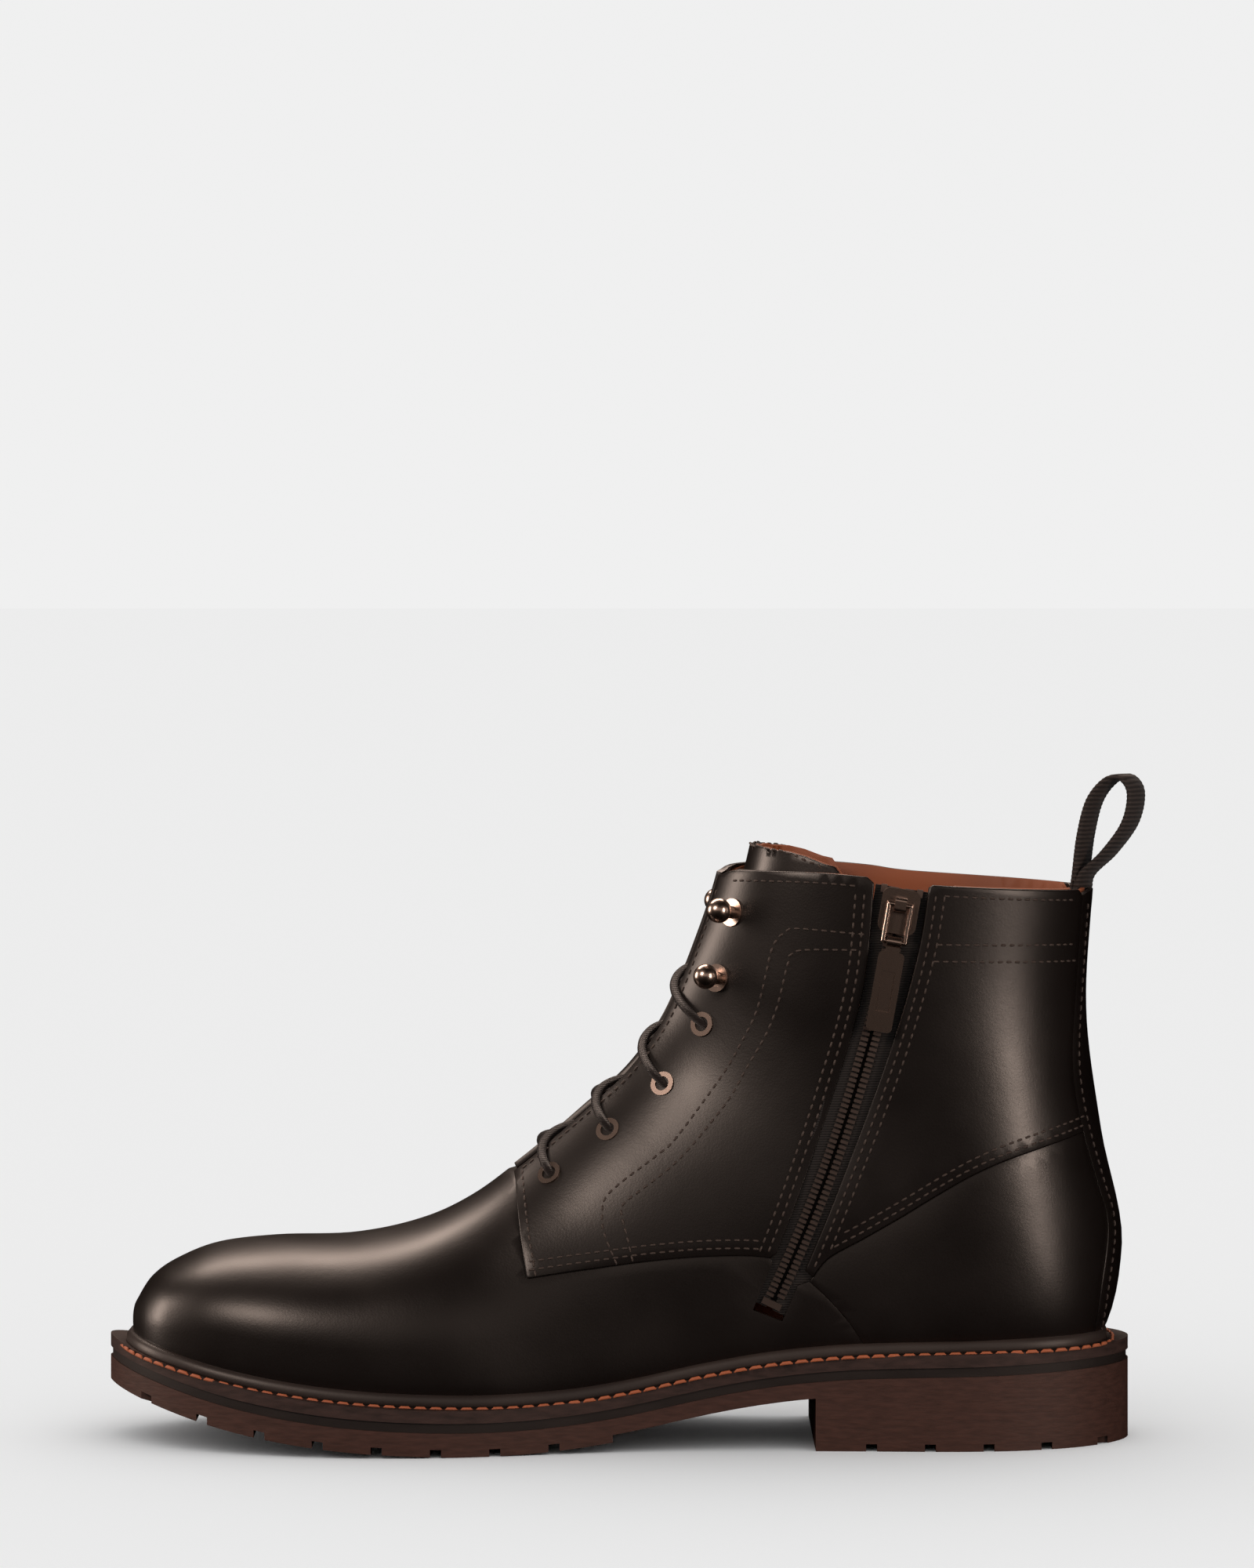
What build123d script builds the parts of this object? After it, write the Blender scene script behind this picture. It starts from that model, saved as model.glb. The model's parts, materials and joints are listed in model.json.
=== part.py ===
"""Lace-up ankle boot with a side zip: every leather, rubber, thread and metal piece its own solid.

Right boot. X runs from toe (-) to heel (+), Y from the inner side (-, zip) to the outer side (+), Z up.
The origin is on the floor in the middle of the sole. Sizes are in millimetres.
"""
import math
import os

from build123d import *

os.makedirs("parts", exist_ok=True)

# ---- driving dimensions ----
LENGTH = 308.6              # outsole, toe to heel
OUTSOLE_STEP = 7.0          # outsole thickness in the forefoot, with lugs
MIDSOLE_THICK = 2.9
WELT_THICK = 3.8
RAND_HIGH = 4.2
LUG_DEEP = 2.2
LUG_PITCH = 17.5
LUG_GAP = 3.3
HEEL_BREAST_X = 58.5
LUG_END_X = -2.0

LEATHER = 2.0               # upper leather
MIDDLE = 0.8                # stiffeners, stays and zip tape between leather and lining
LINING = 1.2
FACING_GAP = 10.0           # half the gap between the two lace facings
TONGUE_DROP = 8.6           # how deep the tongue lies under the outer surface
TONGUE_THICK = 1.8

LACE_R = 1.35
EYELET_HOLE_R = 2.2
EYELET_RING_R = 3.7

ZIP_CENTRE = (-363.8, 240.7)   # the zip is an arc about this line along Y
ZIP_RADIUS = 454.1
ZIP_TOP_DEG = -9.15
ZIP_BOTTOM_DEG = -25.4
ZIP_TAPE_Y = -33.9             # middle plane of the zip tape
SLIDER_REST_DEG = -10.1
TOOTH_PITCH = 1.6

ROW_SHIFT = Pos(-2.53, -1.55, 0)       # puts the middle of the boot's box over the origin

made = {}


def keep(name, shape):
    """Store one named piece; several loose solids become a group."""
    solids = shape.solids()
    made[name] = solids[0] if len(solids) == 1 else Compound(children=list(solids))
    print(f"{name}: {len(solids)} solid(s), {sum(s.volume for s in solids):.0f} mm3")


def side_prism(edges, y_from=-80.0, y_to=80.0):
    """Extrude a closed loop of side-view edges along Y."""
    face = make_face(Wire(edges).edges())
    return extrude(Pos(0, y_from, 0) * face, amount=y_to - y_from, dir=(0, 1, 0))


def outline_prism(points, y_from=-80.0, y_to=80.0):
    """Extrude a closed straight-sided side-view outline, given as (x, z), along Y."""
    ring = Polyline(*[(x, 0, z) for x, z in points], close=True)
    return side_prism(ring.edges(), y_from, y_to)


# ---- the sole: layers cut from one plan outline by side-view bands ----

def plan_outline(inset=0.0):
    """Sole outline seen from above, pulled in by `inset`."""
    half = LENGTH / 2 - inset
    inner = [(-140, -26), (-118, -41), (-88, -50), (-52, -50), (-10, -41), (30, -36.5), (75, -36.5), (118, -35.5),
             (144, -22)]
    outer = [(144, 22), (118, 35.5), (75, 38), (30, 41), (-12, 48), (-55, 54), (-92, 52), (-120, 42), (-141, 26)]
    ring = [(-half, 0)]
    ring += [(x, y + inset) for x, y in inner]
    ring += [(half, 0)]
    ring += [(x, y - inset) for x, y in outer]
    edge = Spline(*[(x, y) for x, y in ring], periodic=True)
    return make_face(edge)


# underside of the midsole in side view: toe spring, flat ball, raised waist, heel seat
SOLE_LINE = [(-154.3, 23.8), (-138, 19.2), (-120, 14.6), (-100, 11.0), (-80, 8.7), (-60, 7.5), (-38, 7.1),
             (-16, 8.3), (4, 11.2), (26, 15.8), (48, 19.4), (72, 21.4), (105, 22.2), (154.3, 23.6)]


def sole_curve(lift):
    """The sole line lifted by a height and carried past toe and heel."""
    points = [(-175, 0, SOLE_LINE[0][1] + 5 + lift)]
    points += [(x, 0, z + lift) for x, z in SOLE_LINE]
    points += [(175, 0, SOLE_LINE[-1][1] + lift)]
    return Spline(*points)


def band(low, high):
    """Everything between two lifted sole lines, across the whole width."""
    bottom = sole_curve(low)
    top = sole_curve(high)
    ends = [Line(bottom @ 1, top @ 1), Line(top @ 0, bottom @ 0)]
    return side_prism([bottom, ends[0], top, ends[1]])


def plan_prism(face):
    return extrude(Pos(0, 0, -5) * face, amount=90)


def solid_of(shape):
    """The biggest solid of a cut result."""
    return max(shape.solids(), key=lambda s: s.volume)


# ---- the upper: one foot form made of fan-like sections from toe to collar ----
# each station: top or front point, bottom or back point, inner and outer half width,
# where along the section it is widest, and how square its two ends are
STATIONS = [
    ((-147.5, 39.0), (-147.5, 31.5), 5.5, 6.0, 0.45, 2.2, 2.4),
    ((-146.4, 41.5), (-146.4, 27.5), 11.0, 12.0, 0.45, 2.2, 2.6),
    ((-142.0, 48.2), (-142.5, 24.0), 20.0, 21.5, 0.42, 2.2, 3.5),
    ((-134.5, 53.4), (-135.0, 21.5), 28.0, 29.5, 0.40, 2.2, 4.5),
    ((-122.0, 58.2), (-121.5, 17.8), 35.5, 37.0, 0.39, 2.2, 5.0),
    ((-104.0, 60.3), (-101.0, 13.8), 41.5, 43.0, 0.38, 2.2, 5.0),
    ((-81.0, 61.0), (-75.0, 10.9), 44.5, 47.0, 0.37, 2.2, 5.0),
    ((-61.0, 65.2), (-47.0, 9.6), 44.0, 48.0, 0.36, 2.2, 5.0),
    ((-45.0, 72.6), (-15.0, 10.8), 40.0, 45.0, 0.35, 2.2, 5.0),
    ((-29.0, 84.6), (22.0, 17.2), 36.5, 41.0, 0.36, 2.2, 5.0),
    ((-12.0, 99.8), (62.0, 23.2), 36.0, 38.0, 0.37, 2.2, 5.0),
    ((1.0, 112.5), (104.0, 24.6), 36.2, 36.5, 0.38, 2.2, 4.5),
    ((10.5, 126.5), (141.0, 26.5), 36.5, 36.5, 0.39, 2.2, 3.2),
    ((17.0, 140.0), (152.3, 57.0), 36.5, 36.5, 0.42, 2.2, 2.2),
    ((22.0, 151.5), (146.0, 93.0), 36.5, 36.5, 0.47, 2.2, 2.2),
    ((26.0, 162.0), (141.6, 127.0), 36.5, 36.5, 0.50, 2.2, 2.2),
    ((29.5, 173.0), (142.8, 157.0), 36.5, 36.5, 0.50, 2.3, 2.2),
    ((33.5, 190.0), (146.0, 185.0), 36.5, 36.5, 0.50, 2.3, 2.2),
]
RING_POINTS = 20


def ring_point(station, angle, depth):
    """One point of a section; angle 0 is the top, 90 the inner side, 180 the bottom."""
    (tx, tz), (bx, bz), inner, outer, widest, top_power, low_power = station
    length = math.hypot(tx - bx, tz - bz)
    ux, uz = (tx - bx) / length, (tz - bz) / length
    c, s = math.cos(math.radians(angle)), math.sin(math.radians(angle))
    power = top_power if c >= 0 else low_power
    room = length * (1 - widest) if c >= 0 else length * widest
    reach = max(room - depth, room * 0.3)
    side = inner if s >= 0 else outer
    side = max(side - depth, side * 0.3)
    along = length * widest + math.copysign(reach * abs(c) ** (2 / power), c)
    across = -math.copysign(side * abs(s) ** (2 / power), s)
    return (bx + ux * along, across, bz + uz * along)


def form(depth):
    """The closed foot form, `depth` under the outer surface of the leather."""
    rings = []
    first = 1 if depth > LEATHER else 0       # deep layers end before the smallest toe section
    for number, station in enumerate(STATIONS):
        if number < first:
            continue
        moved = station
        if number < 4:
            (tx, tz), (bx, bz) = station[0], station[1]
            moved = ((tx + depth, tz), (bx + depth, bz)) + station[2:]
        corners = [ring_point(moved, 360 * n / RING_POINTS, depth) for n in range(RING_POINTS)]
        rings.append(Wire(Polyline(*corners, close=True).edges()))
    return Solid.make_loft(rings, ruled=True)


def station_at(t):
    """Station values at a fractional place along the fan."""
    n = min(int(t), len(STATIONS) - 2)
    share = t - n

    def mix(a, b):
        if isinstance(a, tuple):
            return tuple(mix(p, q) for p, q in zip(a, b))
        return a + (b - a) * share
    return mix(STATIONS[n], STATIONS[n + 1])


def front_point(t, y, depth=0.0):
    """Point near the front ridge: fan place, distance from the middle, depth under the surface."""
    station = station_at(t)
    side = (station[2] if y < 0 else station[3]) - depth
    s = (abs(y) / side) ** (station[5] / 2)
    angle = math.degrees(math.asin(min(s, 1.0)))
    x, _, z = ring_point(station, angle, depth)
    return Vector(x, y, z)


def fan_place(x, z, y):
    """The fan place whose surface point at `y` lies nearest a side-view point."""
    tries = [8 + n * 0.01 for n in range(850)]
    return min(tries, key=lambda t: (front_point(t, y) - Vector(x, y, z)).length)


def fitting_plane(t, y):
    """Plane lying on the surface at a lace fitting, its normal pointing out of the boot."""
    centre = front_point(t, y)
    up = front_point(t + 0.1, y) - centre
    step = 1.0 if y > 0 else -1.0
    outward_edge = front_point(t, y + step) - front_point(t, y - step)
    normal = up.cross(outward_edge).normalized()
    middle = Vector(centre.X + 30, 0, centre.Z - 30)
    if normal.dot(centre - middle) < 0:
        normal = -normal
    return Plane(origin=centre, x_dir=up, z_dir=normal)


# ---- side-view seam lines of the upper, (x, z) ----
TOPLINE = [(-200, 150), (22, 156), (27.5, 166), (31.5, 170.8), (36, 172.3), (58, 172.3), (76, 170.9), (91, 168.4),
           (129, 166.5), (170, 165)]
VAMP_SEAM = [(-34, 100), (-31.5, 80.3), (-29.8, 65.3), (-27.2, 52), (-25, 50.8), (-7.2, 54.1), (9.2, 56.2),
             (25.6, 58), (42, 58), (56.6, 50.5)]
VAMP_END = [(56.6, 50.5), (62, 45.5), (67.3, 40.2), (72.1, 32.6), (75, 8)]
COUNTER_SEAM = [(56.6, 50.5), (62, 57.3), (72.8, 63.4), (83.6, 69.3), (95.8, 78), (103.5, 81.7), (116.7, 88.3),
                (139.4, 93.7)]
STRAP_SEAM_HIGH = [(139.4, 93.7), (136.6, 106.3), (136.1, 118.9), (137.6, 140.1), (142, 175)]
STRAP_SEAM_LOW = [(141.7, 8), (144.9, 46.9), (146.3, 55.4), (147.3, 63.2), (146.6, 68.7), (144, 76.5), (139.4, 93.7)]
SLOT_FRONT = [(76.2, 176), (64.7, 108.6), (39.8, 42.0)]
SLOT_REAR = [(48.6, 38.6), (78.6, 113), (92.6, 176)]
OUTSIDE = 190


def panel_outline(name):
    """Closed side-view outline of a panel before it is cut at the collar and the welt."""
    if name == "vamp":
        return [(-OUTSIDE, 8), (-OUTSIDE, 100)] + VAMP_SEAM + VAMP_END[1:]
    if name == "quarter":
        return VAMP_SEAM + COUNTER_SEAM[1:] + STRAP_SEAM_HIGH[1:] + [(142, 180), (-34, 180)]
    if name == "counter":
        return VAMP_END[::-1] + COUNTER_SEAM[1:] + STRAP_SEAM_LOW[-2::-1]
    return STRAP_SEAM_LOW + STRAP_SEAM_HIGH[1:] + [(OUTSIDE, 175), (OUTSIDE, 8)]


def zip_slot():
    """The opening for the zip through leather and lining on the inner side."""
    front = ThreePointArc(*[Vector(x, 0, z) for x, z in SLOT_FRONT])
    rear = ThreePointArc(*[Vector(x, 0, z) for x, z in SLOT_REAR])
    edges = [front, Line(front @ 1, rear @ 0), rear, Line(rear @ 1, front @ 0)]
    return side_prism(edges, -80, -20)


def make_sole():
    """Midsole, outsole with its heel and lugs, welt and rand."""
    plan = plan_outline()
    block = plan_prism(plan)
    midsole = plan_prism(plan_outline(0.6)) & band(0, MIDSOLE_THICK)
    keep("midsole", solid_of(midsole))
    welt_low = MIDSOLE_THICK
    welt_ring = plan_prism(plan) - plan_prism(plan_outline(14))
    keep("welt", solid_of(welt_ring & band(welt_low, welt_low + WELT_THICK)))
    forefoot = block & band(-OUTSOLE_STEP, 0)
    heel_zone = Pos(HEEL_BREAST_X, -80, 0) * Box(120, 160, 40, align=Align.MIN)
    heel = (block & band(-40, 0)) & heel_zone
    outsole = solid_of(forefoot + heel)
    outsole -= make_tread()
    keep("outsole", solid_of(outsole))


def make_tread():
    """Grooves between the lugs, cut up into the outsole from below."""
    forefoot_reach = band(-OUTSOLE_STEP - 10, -OUTSOLE_STEP + LUG_DEEP)
    heel_reach = Pos(0, 0, LUG_DEEP / 2 - 5) * Box(LENGTH * 1.2, 200, LUG_DEEP + 10)
    grooves = []
    count = int((LUG_END_X + 150) / LUG_PITCH)
    for number in range(count):
        x = LUG_END_X - LUG_PITCH * (number + 1)
        for y in (-44, 44):
            cut = Pos(x, y, 10) * Box(LUG_GAP, 44, 80)
            grooves.append(cut & forefoot_reach)
    for number in range(5):
        x = HEEL_BREAST_X + LUG_PITCH * (number + 0.95)
        for y in (-40, 40):
            grooves.append((Pos(x, y, 10) * Box(LUG_GAP, 44, 80)) & heel_reach)
    waist = Pos((LUG_END_X + HEEL_BREAST_X) / 2, 0, 10) * Box(HEEL_BREAST_X - LUG_END_X, 160, 80)
    grooves.append(waist & forefoot_reach)
    return grooves



def make_upper():
    """Leather panels, stiffeners and lining, all cut from layers of the foot form."""
    below_top = outline_prism([(-200, -10), (170, -10)] + TOPLINE[::-1])
    trim = below_top & band(MIDSOLE_THICK + WELT_THICK, 200)
    forms = {depth: form(depth) for depth in LAYER_DEPTHS}
    rand_band = band(MIDSOLE_THICK + WELT_THICK, MIDSOLE_THICK + WELT_THICK + RAND_HIGH)
    keep("rand", solid_of((form(-RAND_THICK) - forms[0]) & rand_band))

    slot = zip_slot()
    tape_room = zip_strip(ZIP_TAPE_HALF, ZIP_TAPE_Y - MIDDLE / 2 - 0.02, ZIP_TAPE_Y + MIDDLE / 2 + 0.02)
    throat = outline_prism([(-31.5, 60), (-31.5, 200), (60, 200), (60, 60)], -FACING_GAP, FACING_GAP)
    holes = fitting_holes()
    inner = outline_prism([(-OUTSIDE, -10), (-OUTSIDE, 210), (OUTSIDE, 210), (OUTSIDE, -10)], -80, 0)

    leather = ((forms[0] & trim) - forms[LEATHER]) - slot - tape_room
    wide_slot = zip_strip(ZIP_TAPE_HALF + 0.5, -80, -20)
    lining_trim = below_top & band(MIDSOLE_THICK + WELT_THICK + LINING_LIFT, 200)
    lining = ((forms[LEATHER + MIDDLE] & lining_trim) - forms[LEATHER + MIDDLE + LINING]) - wide_slot
    middle = ((forms[LEATHER] & trim) - forms[LEATHER + MIDDLE]) - wide_slot
    for layer, suffix in ((leather, ""), (lining, "_lining")):
        vamp = outline_prism(panel_outline("vamp"))
        strap = outline_prism(panel_outline("strap"))
        quarter = (layer & outline_prism(panel_outline("quarter"))) - throat
        counter = layer & outline_prism(panel_outline("counter"))
        keep("vamp" + suffix, solid_of(layer & vamp))
        keep("heel_grip" if suffix else "back_strap", solid_of(layer & strap))
        outer_quarter = solid_of(quarter - inner)
        keep("quarter_outer" + suffix, outer_quarter - holes)
        keep("counter_outer" + suffix, solid_of(counter - inner))
        keep("counter_inner" + suffix, solid_of(counter & inner))
        halves = sorted((quarter & inner).solids(), key=lambda solid: solid.volume)[-2:]
        halves.sort(key=lambda solid: solid.center().X)
        keep("quarter_inner_front" + suffix, halves[0] - holes)
        keep("quarter_inner_rear" + suffix, halves[1])
    keep("toe_puff", solid_of(middle & outline_prism([(-OUTSIDE, 0), (-OUTSIDE, 80), (-112, 80), (-104, 0)])))
    stiff = [(92, 0), (84, 66), (100, 77), (OUTSIDE, 92), (OUTSIDE, 0)]
    keep("heel_stiffener", solid_of(middle & outline_prism(stiff)))
    stay = (middle & outline_prism(STAY_OUTLINE)) - throat
    keep("facing_stay_inner", solid_of(stay & inner) - holes)
    keep("facing_stay_outer", solid_of(stay - inner) - holes)

    foot = forms[LEATHER + MIDDLE + LINING]
    seat = MIDSOLE_THICK + WELT_THICK
    keep("insole_board", solid_of(foot & band(seat, seat + 2.2)))
    keep("sock_lining", solid_of(foot & band(seat + 2.2, seat + 3.6)))
    filler_room = plan_prism(plan_outline(14.1)) & band(MIDSOLE_THICK, seat)
    shank = make_shank()
    keep("cork_filler", solid_of(filler_room - shank))
    keep("shank", shank)


LINING_LIFT = 1.6    # the lining stops this far above the welt, beside the insole board
LAYER_DEPTHS = (0, LEATHER, LEATHER + MIDDLE, LEATHER + MIDDLE + LINING)
RAND_THICK = 2.2
ZIP_TAPE_HALF = 8.0
STAY_OUTLINE = [(-29, 66), (-29, 100), (20, 200), (56, 200), (54, 160), (44, 132), (24, 100), (-4, 72)]


def make_shank():
    """Steel strip that stiffens the waist between midsole and insole."""
    strip = Pos(48, 0, 0) * Box(96, 14, 120)
    return solid_of(strip & band(MIDSOLE_THICK + 1.2, MIDSOLE_THICK + 2.4))


# ---- zip: an arc strip along the inner side ----

def zip_point(angle, reach=0.0):
    """Side-view point on the zip arc, moved out from its centre line by `reach`."""
    a = math.radians(angle)
    radius = ZIP_RADIUS + reach
    return Vector(ZIP_CENTRE[0] + radius * math.cos(a), 0, ZIP_CENTRE[1] + radius * math.sin(a))


def zip_plane(angle):
    """Local frame on the zip: X across it to the rear, Y up along it, Z out of the boot."""
    a = math.radians(angle)
    origin = zip_point(angle) + Vector(0, ZIP_TAPE_Y, 0)
    return Plane(origin=origin, x_dir=(math.cos(a), 0, math.sin(a)), z_dir=(0, -1, 0))


def arc_strip(reach_a, reach_b, low, high, y_from, y_to):
    """A flat strip that follows the zip arc between two reaches and two angles."""
    middle = (low + high) / 2
    one = ThreePointArc(zip_point(low, reach_a), zip_point(middle, reach_a), zip_point(high, reach_a))
    two = ThreePointArc(zip_point(high, reach_b), zip_point(middle, reach_b), zip_point(low, reach_b))
    return side_prism([one, Line(one @ 1, two @ 0), two, Line(two @ 1, one @ 0)], y_from, y_to)


def zip_strip(half, y_from, y_to):
    return arc_strip(-half, half, ZIP_BOTTOM_DEG - 0.6, ZIP_TOP_DEG + 1.5, y_from, y_to)


def zip_slot():
    """The opening for the zip through leather and lining on the inner side."""
    front = ThreePointArc(*[Vector(x, 0, z) for x, z in SLOT_FRONT])
    rear = ThreePointArc(*[Vector(x, 0, z) for x, z in SLOT_REAR])
    edges = [front, Line(front @ 1, rear @ 0), rear, Line(rear @ 1, front @ 0)]
    return side_prism(edges, -80, -20)


def make_zip():
    """Tapes, teeth, end stops, guard flap, slider, bail and pull tab."""
    y_low, y_high = ZIP_TAPE_Y - MIDDLE / 2, ZIP_TAPE_Y + MIDDLE / 2
    low, high = ZIP_BOTTOM_DEG - 0.5, ZIP_TOP_DEG - 0.1
    keep("zip_tape_front", arc_strip(-ZIP_TAPE_HALF, -1.0, low, high, y_low, y_high))
    keep("zip_tape_rear", arc_strip(1.0, ZIP_TAPE_HALF, low, high, y_low, y_high))
    pitch_deg = math.degrees(TOOTH_PITCH / ZIP_RADIUS)
    count = int((SLIDER_REST_DEG + 0.6 - ZIP_BOTTOM_DEG) / pitch_deg)
    for name, side, shift in (("zip_teeth_front", -1, 0.0), ("zip_teeth_rear", 1, 0.5)):
        tooth = Pos(side * 1.65, 0, 0) * Box(2.3, 0.95, 2.4)
        tooth -= Pos(side * 2.9, 0, 0) * Box(3.8, 2, MIDDLE)
        teeth = [zip_plane(ZIP_BOTTOM_DEG + (n + shift) * pitch_deg) * tooth for n in range(count)]
        keep(name, Compound(children=[solid_of(one) for one in teeth]))
    stop = Box(6.0, 2.0, 2.6) - Pos(0, 0, 0) * Box(8, 4, MIDDLE)
    bottom = zip_plane(ZIP_BOTTOM_DEG - 0.3) * (stop + Box(1.9, 2.0, 2.6))
    keep("zip_bottom_stop", bottom)
    top_block = Box(1.8, 2.4, 2.4) - Box(4, 4, MIDDLE)
    stops = [zip_plane(ZIP_TOP_DEG - 0.2) * (Pos(side * 5.4, 0, 0) * top_block) for side in (-1, 1)]
    stops = [solid for stop_pair in stops for solid in stop_pair.solids()]
    outside_ones = [solid for solid in stops if solid.center().Y < ZIP_TAPE_Y]
    keep("zip_top_stops", Compound(children=outside_ones))
    guard_form = form(GUARD_DROP) - form(GUARD_DROP + LINING)
    guard = guard_form & arc_strip(-13, 13, ZIP_BOTTOM_DEG - 0.5, ZIP_TOP_DEG - 0.8, -70, -15)
    keep("zip_guard", solid_of(guard))
    keep("zip_slider", make_slider())
    keep("slider_bail", make_bail())
    keep("pull_tab", make_tab())


GUARD_DROP = 6.4
CROWN_Z = 3.3               # underside of the slider's crown above the tape's middle plane
CROWN_THICK = 1.4
PLATE_HALF = 4.0
ROD_R = 0.7                 # bail wire
ROD_FIT = 0.08
ROD_Z = 5.95                # bail rod height above the tape's middle plane
BAIL_TOP_Y = 2.0
BAIL_LOW_Y = -9.2
TAB_WIDE = 7.7
TAB_LONG = 24.0
TAB_THICK = 1.3


def make_slider():
    """Slider: crown above the leather, channel around the teeth, back plate behind them."""
    crown = Pos(0, 0, CROWN_Z + CROWN_THICK / 2) * Box(11.4, 13.5, CROWN_THICK)
    crown = fillet(crown.edges().filter_by(Axis.Z), 2.6)
    roof = Pos(0, 0, (1.6 + CROWN_Z) / 2) * Box(PLATE_HALF * 2, 11.5, CROWN_Z - 1.6)
    back = Pos(0, 0, -2.2) * Box(PLATE_HALF * 2, 11.5, 1.2)
    body = crown + roof + back
    for side in (-1, 1):
        rail_x = side * (PLATE_HALF - 0.4)
        body += Pos(rail_x, 0, 1.2) * Box(0.8, 11.5, 0.8)
        body += Pos(rail_x, 0, -1.2) * Box(0.8, 11.5, 0.8)
    body += Pos(0, 3.6, 0) * Box(0.4, 3.0, 4.4)
    bridge = Pos(0, BAIL_TOP_Y, CROWN_Z + CROWN_THICK + 1.3) * Box(3.4, 4.4, 2.6)
    bridge = fillet(bridge.edges().filter_by(Axis.X).sort_by(Axis.Z)[-2:], 1.1)
    body += bridge
    hole = Pos(0, BAIL_TOP_Y, ROD_Z) * Rot(0, 90, 0) * Cylinder(ROD_R + ROD_FIT, 8)
    return zip_plane(SLIDER_REST_DEG) * (body - hole)


def make_bail():
    """Rectangular wire ring through the slider's bridge; the pull tab hangs in its lower bar."""
    half_wide = 3.3
    corners = [(-half_wide, BAIL_TOP_Y), (half_wide, BAIL_TOP_Y), (half_wide, BAIL_LOW_Y), (-half_wide, BAIL_LOW_Y)]
    arms = []
    for (ax, ay), (bx, by) in zip(corners, corners[1:] + corners[:1]):
        start, end = Vector(ax, ay, ROD_Z), Vector(bx, by, ROD_Z)
        arms.append(Solid.make_cylinder(ROD_R, (end - start).length, Plane(start, z_dir=end - start)))
    arms += [Pos(x, y, ROD_Z) * Sphere(ROD_R) for x, y in corners]
    ring = arms[0]
    for arm in arms[1:]:
        ring += arm
    return zip_plane(SLIDER_REST_DEG) * ring


def make_tab():
    """Pull tab with a rolled eye round the bail's lower bar."""
    eye = Pos(0, BAIL_LOW_Y, ROD_Z) * Rot(0, 90, 0) * Cylinder(1.6, 4.2)
    neck = Pos(0, BAIL_LOW_Y - 2.2, ROD_Z) * Box(4.2, 2.6, TAB_THICK)
    plate = Pos(0, BAIL_LOW_Y - 3.0 - TAB_LONG / 2, ROD_Z) * Box(TAB_WIDE, TAB_LONG, TAB_THICK)
    plate = fillet(plate.edges().filter_by(Axis.Z), 1.4)
    window = Pos(0, BAIL_LOW_Y - TAB_LONG * 0.62, ROD_Z) * Box(TAB_WIDE - 3.6, TAB_LONG * 0.5, 0.5)
    face_up = Pos(0, 0, TAB_THICK / 2) * window
    bore = Pos(0, BAIL_LOW_Y, ROD_Z) * Rot(0, 90, 0) * Cylinder(ROD_R + ROD_FIT, 8)
    return zip_plane(SLIDER_REST_DEG) * (eye + neck + plate - bore - face_up)


# ---- lace fittings ----

FITTING_Y = 20.5
EYELET_SPOTS = [(-20, 79.9), (-1.8, 92.2), (14.3, 106.8), (25.9, 125.5)]
HOOK_SPOTS = [(30.8, 139.6), (35.3, 159.2)]
TUBE_R = 2.75               # eyelet barrel, outside
WALL_DEEP = LEATHER + MIDDLE + LINING
HOOK_BASE_R = 4.2
HOOK_BALL_R = 3.75


def fitting_places(spots, side):
    """Planes for the fittings on one facing; side is -1 inner, 1 outer."""
    return [fitting_plane(fan_place(x, z, side * FITTING_Y), side * FITTING_Y) for x, z in spots]


def ring_solid(outer, inner, low, high):
    """A flat ring or tube between two heights along its own axis."""
    ring = Pos(0, 0, (low + high) / 2) * Cylinder(outer, high - low)
    return ring - Pos(0, 0, (low + high) / 2) * Cylinder(inner, (high - low) * 2) if inner else ring


def fitting_holes():
    """Everything the fittings take out of the facing layers."""
    holes = []
    for side in (-1, 1):
        for plane in fitting_places(EYELET_SPOTS, side):
            holes.append(plane * ring_solid(TUBE_R, 0, -8, 4))
            holes.append(plane * ring_solid(EYELET_RING_R, 0, -0.2, 4))
            holes.append(plane * ring_solid(EYELET_RING_R, 0, -8, -WALL_DEEP + 0.2))
        for plane in fitting_places(HOOK_SPOTS, side):
            holes.append(plane * ring_solid(1.5, 0, -8, 4))
            holes.append(plane * ring_solid(HOOK_BASE_R, 0, -0.2, 4))
            holes.append(plane * ring_solid(3.2, 0, -8, -WALL_DEEP + 0.2))
    return holes


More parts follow.
